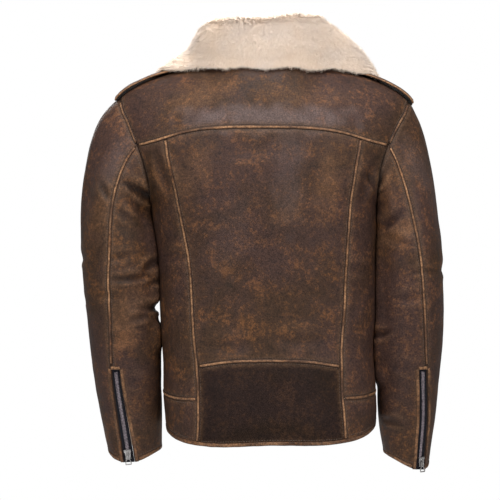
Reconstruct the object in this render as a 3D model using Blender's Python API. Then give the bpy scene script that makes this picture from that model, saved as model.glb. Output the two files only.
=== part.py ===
# A sheepskin flying jacket, filled out as if worn, with the neck, hem and cuffs open.
#
# Metres, +Z up. The jacket's front faces -Y and its left sleeve is at +X. The origin is
# the middle of the neck opening, level with where the collar crosses the shoulders.
#
# The body is one smooth surface, body_points(turn, height). turn runs round the body: 0 at
# the centre back, 90 degrees at the left side, 180 at the centre front. Each panel is a
# grid on that surface between its seam lines, and the wall goes inwards from it.
import math
from collections import namedtuple

import bmesh
import bpy
import numpy as np

# Driving sizes
SKIN = 0.009  # hide with clipped wool on its inner side
SEAM_GAP = 0.0003
PILE = 0.015  # wool that stands on the collar
HIDE = 0.0015
SIDES = (("left", 1.0), ("right", -1.0))

# The body from the hem to the shoulders. lean moves a section towards the left sleeve and
# tilt raises that side of it.
Section = namedtuple("Section", "height lean tilt half_width back front")
BODY = (
    Section(-0.650, -0.0080, -0.018, 0.1770, 0.122, 0.128),
    Section(-0.611, -0.0085, -0.018, 0.1827, 0.122, 0.130),
    Section(-0.560, -0.0062, -0.006, 0.1851, 0.118, 0.134),
    Section(-0.520, -0.0050, 0.000, 0.1832, 0.115, 0.137),
    Section(-0.480, -0.0030, 0.000, 0.1838, 0.112, 0.139),
    Section(-0.420, -0.0030, 0.000, 0.1870, 0.112, 0.142),
    Section(-0.320, -0.0015, 0.000, 0.1898, 0.120, 0.147),
    Section(-0.265, 0.0020, 0.000, 0.1945, 0.126, 0.148),
    Section(-0.235, 0.0040, 0.000, 0.1970, 0.128, 0.148),
    Section(-0.205, 0.0050, 0.000, 0.2120, 0.129, 0.146),
    Section(-0.170, 0.0060, 0.000, 0.2280, 0.129, 0.142),
    Section(-0.136, 0.0060, 0.000, 0.2430, 0.127, 0.137),
    Section(-0.097, 0.0050, 0.005, 0.2580, 0.124, 0.129),
    Section(-0.052, 0.0030, 0.010, 0.2750, 0.120, 0.116),
    Section(0.000, 0.0010, 0.010, 0.3000, 0.117, 0.102),
    Section(0.060, 0.0000, 0.004, 0.3200, 0.116, 0.098),
)
SQUARENESS = 2.4  # exponent of each section's superellipse

# The shoulder line, which the neck opening cuts off inside NECK_HALF
Ridge = namedtuple("Ridge", "out height")
SHOULDER = (
    Ridge(0.000, 0.062),
    Ridge(0.025, 0.059),
    Ridge(0.060, 0.042),
    Ridge(0.088, 0.022),
    Ridge(0.120, 0.0075),
    Ridge(0.155, -0.005),
    Ridge(0.190, -0.0165),
    Ridge(0.215, -0.0275),
    Ridge(0.237, -0.0400),
    Ridge(0.2515, -0.0520),
    Ridge(0.290, -0.0900),
)
SHOULDER_ROUND = 0.160  # drop over which the shoulder rounds into the back and front
NECK_HALF = 0.088
NECK_BACK = 0.073
NECK_FRONT = 0.106
TIP_OUT = 0.2515  # shoulder tip, where the sleeve starts

# Seam lines, as distances out from the centre line
Line = namedtuple("Line", "height out")
ARMHOLE_BACK = (
    Line(-0.0520, 0.2515),
    Line(-0.0790, 0.2430),
    Line(-0.0970, 0.2332),
    Line(-0.1240, 0.2206),
    Line(-0.1363, 0.2146),
    Line(-0.1700, 0.2030),
    Line(-0.2050, 0.1965),
    Line(-0.2350, 0.1970),
)
ARMHOLE_FRONT = (
    Line(-0.0520, 0.2515),
    Line(-0.0900, 0.2280),
    Line(-0.1300, 0.2080),
    Line(-0.1700, 0.1950),
    Line(-0.2100, 0.1915),
    Line(-0.2350, 0.1970),
)
YOKE_END = -0.1363
ARMPIT = -0.235
BACK_SEAM = (
    Line(-0.1255, 0.1650),
    Line(-0.1600, 0.1600),
    Line(-0.2000, 0.1520),
    Line(-0.2350, 0.1460),
    Line(-0.2800, 0.1400),
    Line(-0.3500, 0.1320),
    Line(-0.4200, 0.1285),
    Line(-0.5120, 0.1225),
    Line(-0.5660, 0.1220),
    Line(-0.6360, 0.1260),
)
Across = namedtuple("Across", "out height")
YOKE_SEAM = (
    Across(0.000, -0.1090),
    Across(0.060, -0.1095),
    Across(0.110, -0.1130),
    Across(0.140, -0.1185),
    Across(0.165, -0.1255),
    Across(0.190, -0.1320),
    Across(0.2146, -0.1363),
)
WAIST_SEAM = (Across(0.000, -0.5010), Across(0.070, -0.5035), Across(0.1225, -0.5120))
# Height of the lower seams, by the turn round the body in degrees
Round = namedtuple("Round", "turn height")
BAND_SEAM = (
    Round(40, -0.5660),
    Round(60, -0.5655),
    Round(90, -0.5580),
    Round(130, -0.5600),
    Round(180, -0.5640),
)
HEM = (
    Round(0, -0.6430),
    Round(30, -0.6450),
    Round(60, -0.6370),
    Round(90, -0.6180),
    Round(130, -0.6120),
    Round(180, -0.6120),
)
ZIP_SLOT_HALF = 0.0075  # half the width between the two fronts

# How many strips and rows each part of the grid has
CENTRE_STRIPS = 14  # centre back, between the back seams
SIDE_STRIPS = 3
NECK_STRIPS = 10  # back of the neck opening
RIDGE_STRIPS = 5  # along each shoulder line
FRONT_NECK_STRIPS = 6
YOKE_ROWS = 5
UPPER_ROWS = 5  # yoke to armpit
LOWER_ROWS = 11  # armpit to the band
BAND_ROWS = 3
WAIST_ROWS = 2  # rows of the lower rows that lie beside the waist panel
FRONT_UPPER_ROWS = 9  # shoulder tip to armpit on the front

# Sleeves. seam_out turns the back seam outwards from the middle of the sleeve's back.
Arm = namedtuple("Arm", "height outer inner middle_y half_depth seam_out")
SLEEVES = {
    "left": (
        Arm(-0.270, 0.3222, 0.1972, 0.000, 0.0770, 5),
        Arm(-0.310, 0.3215, 0.1915, 0.003, 0.0740, 9),
        Arm(-0.360, 0.3185, 0.1880, 0.005, 0.0700, 14),
        Arm(-0.420, 0.3126, 0.1856, 0.002, 0.0650, 17),
        Arm(-0.480, 0.3068, 0.1825, -0.006, 0.0600, 21),
        Arm(-0.545, 0.2987, 0.1828, -0.018, 0.0555, 25),
        Arm(-0.600, 0.2906, 0.1815, -0.028, 0.0510, 24),
        Arm(-0.662, 0.2765, 0.1836, -0.038, 0.0475, 22),
    ),
    "right": (
        Arm(-0.270, 0.3009, 0.1935, 0.000, 0.0770, 5),
        Arm(-0.310, 0.3050, 0.1927, 0.003, 0.0740, 11),
        Arm(-0.360, 0.3073, 0.1926, 0.005, 0.0700, 16),
        Arm(-0.420, 0.3090, 0.1918, 0.002, 0.0650, 20),
        Arm(-0.480, 0.3072, 0.1890, -0.006, 0.0600, 26),
        Arm(-0.545, 0.3025, 0.1942, -0.018, 0.0555, 34),
        Arm(-0.600, 0.2978, 0.1960, -0.028, 0.0510, 43),
        Arm(-0.670, 0.2860, 0.2080, -0.040, 0.0475, 49),
    ),
}
SLEEVE_CLEAR = 0.0012  # the sleeves hang against the body, just clear of it
# Slope at which each sleeve leaves the shoulder tip and how far it springs before it turns down
Cap = namedtuple("Cap", "slope spring")
CAPS = {"left": Cap(30, 0.80), "right": Cap(56, 0.80)}
ARMPIT_SLOPE = 62
CAP_ROWS = 5  # armhole to the first full section
ROWS_ABOVE_ZIP = 8
ROWS_BESIDE_ZIP = 5
ARMPIT_PLACE = YOKE_ROWS + UPPER_ROWS  # of the places round the armhole
# The cuff hangs lower at its zip, by a drop that spreads round the arm in degrees
Cuff = namedtuple("Cuff", "drop spread")
CUFFS = {"left": Cuff(0.023, 62), "right": Cuff(0.029, 76)}
CUFF_DROP_FROM = 0.25  # of the way down the zip
ZIP_PLACE = 98  # degrees round the sleeve's places
UNDER_FRONT_STRIPS = 4  # armpit to the front sleeve seam

# Creases pressed into a sleeve: position down the arm, turn round it, run, depth
Crease = namedtuple("Crease", "height turn slant length width depth")
CREASES = {
    "left": (
        Crease(-0.235, 128, 38, 0.050, 0.013, 0.0100),
        Crease(-0.350, 150, -24, 0.050, 0.012, 0.0065),
        Crease(-0.385, 135, -10, 0.060, 0.011, 0.0055),
        Crease(-0.418, 172, 0, 0.030, 0.010, 0.0060),
        Crease(-0.340, 235, 20, 0.055, 0.013, 0.0050),
        Crease(-0.395, 250, -12, 0.055, 0.012, 0.0050),
        Crease(-0.250, 40, -60, 0.050, 0.012, 0.0035),
    ),
    "right": (
        Crease(-0.215, 132, 42, 0.055, 0.012, 0.0090),
        Crease(-0.285, 120, 30, 0.055, 0.014, 0.0050),
        Crease(-0.350, 228, 16, 0.055, 0.013, 0.0050),
        Crease(-0.400, 245, -14, 0.055, 0.012, 0.0055),
        Crease(-0.440, 165, 18, 0.040, 0.012, 0.0055),
        Crease(-0.620, 150, -8, 0.045, 0.012, 0.0030),
    ),
}

# Collar. share is the way round the neck opening from the centre back to its end at the
# front; stand is its height; edge_out and edge_over place its lower edge on the body, out
# from the middle and over the shoulder line in degrees, positive towards the back.
Fall = namedtuple("Fall", "share stand edge_out edge_over clear bulge")
COLLAR = {
    "left": (
        Fall(0.00, 0.035, 0.000, 55.5, 0.0045, 0.004),
        Fall(0.18, 0.037, 0.060, 45.0, 0.0050, 0.007),
        Fall(0.34, 0.040, 0.112, 24.0, 0.0090, 0.001),
        Fall(0.46, 0.037, 0.150, 9.0, 0.0125, -0.008),
        Fall(0.56, 0.032, 0.183, -18.0, 0.0125, -0.007),
        Fall(0.68, 0.030, 0.178, -52.0, 0.0100, -0.002),
        Fall(0.84, 0.027, 0.134, -82.0, 0.0060, 0.004),
        Fall(1.00, 0.024, 0.076, -97.0, 0.0060, 0.006),
    ),
    "right": (
        Fall(0.00, 0.035, 0.000, 55.5, 0.0045, 0.004),
        Fall(0.18, 0.043, 0.062, 45.0, 0.0050, 0.004),
        Fall(0.34, 0.050, 0.118, 24.0, 0.0090, 0.004),
        Fall(0.46, 0.048, 0.160, 9.0, 0.0125, 0.006),
        Fall(0.56, 0.042, 0.190, -18.0, 0.0125, 0.008),
        Fall(0.68, 0.035, 0.182, -52.0, 0.0100, 0.005),
        Fall(0.84, 0.028, 0.134, -82.0, 0.0060, 0.004),
        Fall(1.00, 0.024, 0.076, -97.0, 0.0060, 0.006),
    ),
}
COLLAR_SEAM_RISE = 0.0006
FOLD_RADIUS = 0.0040
FOLD_TURNS = (60, 120, 180)
FALL_ROWS = 6
# How full the wool is along the section, from the neck seam over the fold to the edge
PILE_FULL = (0.70, 0.95, 1.0, 1.0, 1.0, 1.0, 1.0, 1.0, 1.0, 1.0, 0.90, 0.55)
PILE_END = 0.70  # and at the two ends of the collar
PILE_OVERHANG = 0.0045

# Trim that lies on the panels
WELT_WIDTH = 0.0060
WELT_HEIGHT = 0.0022
WELT_SHOULDER = (0.62, 0.84)  # where its section turns over, as shares of half width and height
LIFT = 0.0005
WELT_TRIM = 0.0055  # a welt stops this far short of one that it runs into
EDGE_WIDTH = 0.0070
EDGE_HEIGHT = 0.0018
DARK_PANELS = ("back_waist",)
STRAP_WIDTH = 0.042
STRAP_THICK = 0.0042
STRAP_FLAT = 0.80  # share of the body's depth at the neck that the shoulders have
STRAP_CLEAR = 0.025  # from the shoulder tip to where the armhole's raised seam starts
Strap = namedtuple("Strap", "out lift")
STRAP = (
    Strap(0.1460, 0.0004),
    Strap(0.1600, 0.0012),
    Strap(0.1750, 0.0024),
    Strap(0.1950, 0.0032),
    Strap(0.2150, 0.0034),
    Strap(0.2350, 0.0034),
    Strap(0.2490, 0.0030),
    Strap(0.2560, 0.0012),
)

# Zips
CUFF_ZIP_TOP = -0.518
WINDOW_STEP = 0.0020  # height over which the zip's window opens at its top
CUFF_SLOT_TOP = 0.0150
CUFF_SLOT_END = 0.0210
TAPE_THICK = 0.0012
TAPE_SUNK = 0.0022
TAPE_CLEAR = 0.0005
TAPE_DIP = 0.0004  # the tape lies this much lower under its chain
CHAIN_WIDTH = 0.0072
CHAIN_THICK = 0.0016
CHAIN_GAP = 0.0003
CHAIN_ROUND = 0.0005
CUFF_CHAIN_ENDS = (0.004, 0.009)  # bare tape above and below the chain
FRONT_CHAIN_ENDS = (0.012, 0.006)
SLIDER_LENGTH = 0.0165
SLIDER_HALF_WIDTHS = (0.0062, 0.0062, 0.0052, 0.0044, 0.0044, 0.0050)  # wings to tail
SLIDER_PLATE = 0.0020
BRIDGE_HALF = 0.0014
BRIDGE_BAR = 0.0013
BRIDGE_LENGTH = 0.0088
HINGE_ROOM = 0.0028  # height of the hole that the pull tab's bar turns in
HINGE_DROP = 0.0001  # the bar hangs a little low in it
TAB_THICK = 0.0015
Tab = namedtuple("Tab", "down half_width half_hole open")
TAB = (
    Tab(-0.0008, 0.0034, 0.0019, False),
    Tab(0.0008, 0.0034, 0.0019, True),
    Tab(0.0054, 0.0034, 0.0019, False),
    Tab(0.0086, 0.0034, 0.0019, True),
    Tab(0.0106, 0.0046, 0.0032, True),
    Tab(0.0158, 0.0057, 0.0043, False),
    Tab(0.0178, 0.0050, 0.0036, False),
)
FRONT_PULL_DOWN = 0.040  # front slider, below the top of its chain
CUFF_SLIDER_UP = 0.006  # cuff slider, above the end of its chain

HIDE_BROWN = (0.085, 0.048, 0.028, 1.0)
HIDE_DARK = (0.045, 0.029, 0.020, 1.0)
WORN_EDGE = (0.270, 0.140, 0.065, 1.0)
WOOL_CREAM = (0.800, 0.640, 0.480, 1.0)
TAPE_BLACK = (0.012, 0.012, 0.014, 1.0)
ZIP_METAL = (0.420, 0.400, 0.400, 1.0)


# Curves and the body's surface

def through(table, column, at):
    """Value of a table's column on a smooth curve through its rows, by its first column."""
    x = np.array([row[0] for row in table], float)
    y = np.array([getattr(row, column) for row in table], float)
    if x[0] > x[-1]:
        x, y = x[::-1], y[::-1]
    step = np.diff(x)
    rise = np.diff(y) / step
    slope = np.empty_like(y)
    slope[0], slope[-1] = rise[0], rise[-1]
    slope[1:-1] = (rise[:-1] * step[1:] + rise[1:] * step[:-1]) / (step[:-1] + step[1:])
    at = np.clip(np.asarray(at, float), x[0], x[-1])
    i = np.clip(np.searchsorted(x, at) - 1, 0, len(step) - 1)
    t = (at - x[i]) / step[i]
    start, end = slope[i] * step[i], slope[i + 1] * step[i]
    return ((2 * t**3 - 3 * t**2 + 1) * y[i] + (t**3 - 2 * t**2 + t) * start
            + (3 * t**2 - 2 * t**3) * y[i + 1] + (t**3 - t**2) * end)


def unit(v):
    return v / np.linalg.norm(v, axis=-1, keepdims=True)


def ridge_height(out):
    return through(SHOULDER, "height", np.abs(out))


def body_points(turn, height):
    """Points of the jacket's outer surface. turn is in radians, positive towards +X."""
    turn, height = np.broadcast_arrays(np.asarray(turn, float), np.asarray(height, float))
    power = 2.0 / SQUARENESS
    sine, cosine = np.sin(turn), np.cos(turn)
    out = np.sign(sine) * through(BODY, "half_width", height) * np.abs(sine) ** power
    drop = np.clip((ridge_height(out) - height) / SHOULDER_ROUND, 0.0, 1.0)
    rounding = np.sqrt(np.clip(1.0 - (1.0 - drop) ** 2, 0.0, 1.0))
    depth = np.where(cosine >= 0, through(BODY, "back", height), through(BODY, "front", height))
    y = np.sign(cosine) * depth * np.abs(cosine) ** power * rounding
    x = out + through(BODY, "lean", height)
    return np.stack([x, y, height + x * through(BODY, "tilt", height)], axis=-1)


def turn_at(out, height, front=False):
    """The turn at which the body is that far out from its centre line."""
    share = np.clip(np.abs(out) / through(BODY, "half_width", height), 0.0, 1.0)
    turn = np.arcsin(share ** (SQUARENESS / 2.0))
    return np.sign(out) * (math.pi - turn if front else turn)


def over_shoulder(out, over):
    """Points of the surface, out from the middle and over the shoulder line in degrees."""
    lap = np.radians(np.abs(over))
    drop = SHOULDER_ROUND * np.where(lap < math.pi / 2, 1.0 - np.cos(lap), 1.0 + lap - math.pi / 2)
    height = ridge_height(out) - drop
    turn = np.where(np.asarray(over) >= 0, turn_at(out, height), turn_at(out, height, front=True))
    return body_points(turn, height)


def over_shoulder_normal(out, over):
    across = over_shoulder(out + 0.001, over) - over_shoulder(out - 0.001, over)
    back = over_shoulder(out, over + 0.5) - over_shoulder(out, over - 0.5)
    return unit(np.cross(across, back))


# Seam lines in (turn, height), all for the +X side; mirrored() gives the other

def shares(count, crowd=1.0):
    """count + 1 shares from 0 to 1, closer together at the start if crowd is over 1."""
    return (np.arange(count + 1) / count) ** crowd


def pair(turn, height):
    turn, height = np.broadcast_arrays(turn, height)
    return np.stack([turn, height], axis=-1)


def mirrored(line):
    return line * np.array([-1.0, 1.0])


def armhole_upper():
    height = ARMHOLE_BACK[0].height + (YOKE_END - ARMHOLE_BACK[0].height) * shares(YOKE_ROWS, 1.25)
    return pair(turn_at(through(ARMHOLE_BACK, "out", height), height), height)


def armhole_lower():
    height = YOKE_END + (ARMPIT - YOKE_END) * np.sin(shares(UPPER_ROWS) * math.pi / 2)
    turn = turn_at(through(ARMHOLE_BACK, "out", height), height)
    turn[-1] = math.pi / 2
    return pair(turn, height)


def armhole_front():
    height = ARMHOLE_FRONT[0].height + (ARMPIT - ARMHOLE_FRONT[0].height) * np.sin(
        shares(FRONT_UPPER_ROWS, 1.15) * math.pi / 2)
    turn = turn_at(through(ARMHOLE_FRONT, "out", height), height, front=True)
    turn[-1] = math.pi / 2
    return pair(turn, height)


def shoulder_line(front):
    """Shoulder tip to the neck."""
    out = TIP_OUT + (NECK_HALF - TIP_OUT) * shares(RIDGE_STRIPS)
    height = ridge_height(out)
    return pair(turn_at(out, height, front), height)


def height_at(out, y):
    """Height of the shoulders' surface at a place in plan."""
    height = ridge_height(out)
    for _ in range(8):
        turn = turn_at(out, height)
        depth = np.where(y >= 0, through(BODY, "back", height), through(BODY, "front", height))
        lap = np.clip(np.abs(y) / (depth * np.cos(turn) ** (2.0 / SQUARENESS)), 0.0, 1.0)
        height = ridge_height(out) - SHOULDER_ROUND * (1.0 - np.sqrt(1.0 - lap**2))
    return height


def neck_line(swing):
    """The neck opening, from the centre back (0) by the neck point (90 degrees) to the zip."""
    back = swing <= math.pi / 2
    out = np.where(back, 0.0, ZIP_SLOT_HALF)
    out = out + (NECK_HALF - out) * np.sin(swing)
    y = np.where(back, NECK_BACK, NECK_FRONT) * np.cos(swing)
    height = height_at(out, y)
    return pair(np.where(back, turn_at(out, height), turn_at(out, height, front=True)), height)


def neck_swings():
    """Places round the neck opening from the centre back to the zip."""
    front = math.pi / 2 * (1 + shares(FRONT_NECK_STRIPS))
    return np.concatenate([shares(NECK_STRIPS // 2) * math.pi / 2, front[1:]])


def neck_back():
    return neck_line(neck_swings()[NECK_STRIPS // 2::-1])


def neck_front():
    line = neck_line(neck_swings()[NECK_STRIPS // 2:])
    line[0] = shoulder_line(True)[-1]
    return line


def front_edge_turn(height):
    return turn_at(ZIP_SLOT_HALF, height, front=True)


def yoke_seam(start, end, count):
    out = start + (end - start) * shares(count)
    height = through(YOKE_SEAM, "height", np.abs(out))
    return pair(turn_at(out, height), height)


def waist_seam():
    out = BACK_SEAM[7].out * (1 - 2 * shares(CENTRE_STRIPS))
    height = through(WAIST_SEAM, "height", np.abs(out))
    return pair(turn_at(out, height), height)


def back_seam():
    """Yoke down to the band, then on down beside the waist panel to the hem."""
    body_rows = UPPER_ROWS + LOWER_ROWS - WAIST_ROWS
    top, waist, band = BACK_SEAM[0].height, BACK_SEAM[7].height, BACK_SEAM[8].height
    hem_out = through(BACK_SEAM, "out", -0.636)
    hem = through(HEM, "height", math.degrees(turn_at(hem_out, -0.636)))
    height = np.concatenate([
        top + (waist - top) * shares(body_rows),
        waist + (band - waist) * shares(WAIST_ROWS)[1:],
        band + (hem - band) * shares(BAND_ROWS)[1:],
    ])
    return pair(turn_at(through(BACK_SEAM, "out", height), height), height)


def side_line():
    drop = through(BAND_SEAM, "height", 90) - ARMPIT
    return pair(math.pi / 2, ARMPIT + drop * shares(LOWER_ROWS))


def level_line(table, start, end, count):
    """A seam whose height follows a table by the turn, made to pass through its two ends."""
    along = shares(count)
    turn = start[0] + (end[0] - start[0]) * along
    height = through(table, "height", np.degrees(np.abs(turn)))
    off_start, off_end = start[1] - height[0], end[1] - height[-1]
    return pair(turn, height + off_start + (off_end - off_start) * along)


def front_edge():
    """Neck down the zip to the band."""
    start, end = neck_line(math.pi)[1], through(BAND_SEAM, "height", 180)
    height = start + (end - start) * shares(FRONT_UPPER_ROWS + LOWER_ROWS)
    return pair(front_edge_turn(height), height)


# Grids

def fill(top, bottom, first, last, fade=1):
    """Grid of (turn, height) between four lines that share their end points. It runs straight
    from the first line to the last, and the top and bottom lines bend the rows near them;
    the higher fade is, the fewer rows they bend."""
    rows, strips = len(first), len(top)
    down = np.linspace(0, 1, rows)[:, None, None]
    along = np.linspace(0, 1, strips)[None, :, None]

    def off_straight(line):
        return line[None] - (line[0] + (line[-1] - line[0]) * along)

    straight = (1 - along) * first[:, None] + along * last[:, None]
    return straight + (1 - down) ** fade * off_straight(top) + down ** fade * off_straight(bottom)


def on_body(grid):
    return body_points(grid[..., 0], grid[..., 1])


def body_grids():
    """Outer points of every body panel, as arrays of rows by strips by xyz."""
    grids = {}
    seam = back_seam()
    body_rows = UPPER_ROWS + LOWER_ROWS - WAIST_ROWS
    neck = neck_back()
    ridge = shoulder_line(False)
    corner = through(ARMHOLE_BACK, "out", YOKE_END)
    princess = BACK_SEAM[0].out
    yoke_top = np.concatenate([ridge, neck[1:], mirrored(neck)[::-1][1:], mirrored(ridge)[::-1][1:]])
    yoke_bottom = np.concatenate([
        yoke_seam(corner, princess, SIDE_STRIPS),
        yoke_seam(princess, -princess, CENTRE_STRIPS)[1:],
        yoke_seam(-princess, -corner, SIDE_STRIPS)[1:],
    ])
    grids["back_yoke"] = on_body(fill(
        yoke_top, yoke_bottom, armhole_upper(), mirrored(armhole_upper())))
    centre = seam[:body_rows + 1]
    grids["back_centre"] = on_body(fill(
        yoke_seam(princess, -princess, CENTRE_STRIPS), waist_seam(), centre, mirrored(centre)))
    beside = seam[body_rows:]
    grids["back_waist"] = on_body(fill(
        waist_seam(), level_line(HEM, beside[-1], mirrored(beside[-1]), CENTRE_STRIPS),
        beside, mirrored(beside)))

    inner = seam[:UPPER_ROWS + LOWER_ROWS + 1]
    outer = np.concatenate([armhole_lower(), side_line()[1:]])
    band_back = level_line(BAND_SEAM, inner[-1], outer[-1], SIDE_STRIPS)
    side = fill(yoke_seam(princess, corner, SIDE_STRIPS), band_back, inner, outer, 2)
    front_top = np.concatenate([shoulder_line(True), neck_front()[1:]])
    front_outer = np.concatenate([armhole_front(), side_line()[1:]])
    strips = RIDGE_STRIPS + FRONT_NECK_STRIPS
    edge = front_edge()
    band_front = level_line(BAND_SEAM, outer[-1], edge[-1], strips)
    front = fill(front_top, band_front, front_outer, edge, 3)
    band_top = np.concatenate([band_back, band_front[1:]])
    hem_side = pair(math.pi / 2, through(HEM, "height", 90))
    hem_front = through(HEM, "height", 180)
    hem_front = pair(front_edge_turn(hem_front), hem_front)
    band_bottom = np.concatenate([
        level_line(HEM, seam[-1], hem_side, SIDE_STRIPS),
        level_line(HEM, hem_side, hem_front, strips)[1:],
    ])
    band_end = edge[-1] + (band_bottom[-1] - edge[-1]) * shares(BAND_ROWS)[:, None]
    band = fill(band_top, band_bottom, seam[UPPER_ROWS + LOWER_ROWS:], band_end)
    for name, grid in (("back_side", side), ("front", front), ("hem_band", band)):
        grids[name + "_left"] = on_body(grid)
        grids[name + "_right"] = on_body(mirrored(grid))
    return grids


def crease_depth(side, height, turn, radius):
    """How far the creases press in at a place on a sleeve."""
    depth = np.zeros_like(height)
    for crease in CREASES[side]:
        round_it = (np.degrees(turn) - crease.turn + 180.0) % 360.0 - 180.0
        across = np.radians(round_it) * radius
        down = crease.height - height
        slant = math.radians(crease.slant)
        along = across * math.cos(slant) + down * math.sin(slant)
        off = -across * math.sin(slant) + down * math.cos(slant)
        depth += crease.depth * np.exp(-((along / crease.length) ** 2) * 2 - (off / crease.width) ** 2)
    return depth


def arm_heights(arm):
    """Heights of the full sleeve rows. Two of them bound the top edge of the zip's window."""
    above = np.linspace(arm[0].height, CUFF_ZIP_TOP, ROWS_ABOVE_ZIP + 1)
    beside = np.linspace(CUFF_ZIP_TOP - WINDOW_STEP, arm[-1].height, ROWS_BESIDE_ZIP + 1)
    return np.concatenate([above, beside])


def armhole_loop(sign):
    """The armhole from the shoulder tip down its back, through the armpit and up its front."""
    back = np.concatenate([armhole_upper(), armhole_lower()[1:]])
    loop = np.concatenate([back, armhole_front()[::-1][1:]])
    return on_body(loop if sign > 0 else mirrored(loop))


def sleeve_grid(side, sign, window):
    """Outer points of a sleeve, rows down the arm by places round it. The places start at the
    shoulder tip and go as armhole_loop goes; the back seam leaves from the yoke seam's end.
    With window set, the places under the arm leave room for the zip."""
    arm = SLEEVES[side]
    loop = armhole_loop(sign)
    places = np.concatenate([
        np.linspace(0, 90, YOKE_ROWS + 1),
        np.linspace(90, 180, UPPER_ROWS + 1)[1:],
        np.linspace(180, 360, FRONT_UPPER_ROWS + 1)[1:],
    ])

    def ring(height):
        body_edge = through(BODY, "half_width", height) + sign * through(BODY, "lean", height)
        inner = max(through(arm, "inner", height), body_edge + SLEEVE_CLEAR)
        half = (through(arm, "outer", height) - inner) / 2
        middle = inner + half
        depth = through(arm, "half_depth", height)
        place = places.copy()
        down = (CUFF_ZIP_TOP - height) / (CUFF_ZIP_TOP - arm[-1].height)
        if window and down > 1e-6:
            width = CUFF_SLOT_TOP + (CUFF_SLOT_END - CUFF_SLOT_TOP) * down
            place[YOKE_ROWS:ARMPIT_PLACE + 1] = np.linspace(
                90 + math.degrees(2 * width / (half + depth)), 180, UPPER_ROWS + 1)
        turn = np.radians(place - through(arm, "seam_out", height))
        pressed = crease_depth(side, np.full_like(turn, height), turn, half)
        by_zip = np.exp(-(((place - ZIP_PLACE + 180) % 360 - 180) / CUFFS[side].spread) ** 2)
        dip = CUFFS[side].drop * max(0.0, (down - CUFF_DROP_FROM) / (1 - CUFF_DROP_FROM)) ** 2
        return np.stack([
            sign * (middle + (half - pressed) * np.cos(turn)),
            through(arm, "middle_y", height) + (depth - pressed) * np.sin(turn),
            height - dip * by_zip,
        ], axis=-1)

    first = ring(arm[0].height)
    fall = unit(ring(arm[0].height - 0.01) - first)
    chord = np.linalg.norm(first - loop, axis=1, keepdims=True)
    cap = CAPS[side]
    droop = np.radians(cap.slope + (ARMPIT_SLOPE - cap.slope) * (1 - np.cos(np.radians(places))) / 2)
    spring = np.stack([sign * np.cos(droop), np.zeros_like(droop), -np.sin(droop)], axis=-1)
    start, end = spring * chord * cap.spring, fall * chord
    turn = np.radians(places - arm[0].seam_out)
    away = np.stack([sign * np.cos(turn), np.sin(turn), np.zeros_like(turn)], axis=-1)
    rows = [loop]
    for t in shares(CAP_ROWS)[1:-1]:
        p = ((2 * t**3 - 3 * t**2 + 1) * loop + (t**3 - 2 * t**2 + t) * start
             + (3 * t**2 - 2 * t**3) * first + (t**3 - t**2) * end)
        pressed = crease_depth(side, p[:, 2], turn, 0.065) * min(1.0, 3 * t)
        rows.append(p - away * pressed[:, None])
    rows += [ring(height) for height in arm_heights(arm)]
    grid = np.array(rows)
    grid[:, -1] = grid[:, 0]
    return grid


def sleeve_grids():
    """The top sleeve runs over the arm between its two seams, the under sleeve beneath."""
    grids = {}
    front_seam = ARMPIT_PLACE + UNDER_FRONT_STRIPS
    for side, sign in SIDES:
        plain, cut = sleeve_grid(side, sign, False), sleeve_grid(side, sign, True)
        grids["sleeve_top_" + side] = np.concatenate(
            [plain[:, front_seam:-1], plain[:, :YOKE_ROWS + 1]], axis=1)
        grids["sleeve_under_" + side] = cut[:, YOKE_ROWS:front_seam + 1]
    return grids


# Normals that neighbouring panels share, so that their walls meet along the whole seam

def key(p):
    return tuple(np.round(p, 6) + 0.0)


def middle_of(name):
    """A point inside the body or the sleeve that a panel belongs to."""
    if not name.startswith("sleeve"):
        return np.zeros(3)
    side = name.rsplit("_", 1)[1]
    arm = SLEEVES[side][3]
    return np.array([dict(SIDES)[side] * (arm.outer + arm.inner) / 2, arm.middle_y, 0.0])


def gather_normals(grids):
    """Outward normal at each grid point, averaged over the body's panels or the sleeve's
    there, and then between the two where a sleeve joins."""
    total = {}
    for name, grid in grids.items():
        face = np.cross(grid[1:, :-1] - grid[:-1, 1:], grid[1:, 1:] - grid[:-1, :-1])
        outward = ((grid[1:, 1:] + grid[:-1, :-1]) / 2 - middle_of(name)) * np.array([1.0, 1.0, 0.0])
        face = face * np.sign((face * outward).sum())
        part = name.startswith("sleeve")
        for i, j in np.ndindex(face.shape[:2]):
            for corner in ((i, j), (i, j + 1), (i + 1, j), (i + 1, j + 1)):
                at = total.setdefault(key(grid[corner]), {})
                at[part] = at.get(part, 0.0) + face[i, j]
    return {k: unit(sum(unit(v) for v in parts.values())) for k, parts in total.items()}


def normals_of(points, shared):
    flat = [shared[key(p)] for p in points.reshape(-1, 3)]
    return np.array(flat).reshape(points.shape)


# Solids

def material(name, colour, roughness, metallic=0.0):
    made = bpy.data.materials.new(name)
    made.use_nodes = True
    surface = made.node_tree.nodes["Principled BSDF"]
    surface.inputs["Base Color"].default_value = colour
    surface.inputs["Roughness"].default_value = roughness
    surface.inputs["Metallic"].default_value = metallic
    return made


def finishes():
    return {
        "hide": material("distressed_hide", HIDE_BROWN, 0.55),
        "dark": material("dark_hide", HIDE_DARK, 0.50),
        "edge": material("worn_edge", WORN_EDGE, 0.60),
        "wool": material("cream_wool", WOOL_CREAM, 0.95),
        "tape": material("zip_tape", TAPE_BLACK, 0.80),
        "metal": material("zip_metal", ZIP_METAL, 0.30, 1.0),
    }


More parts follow.
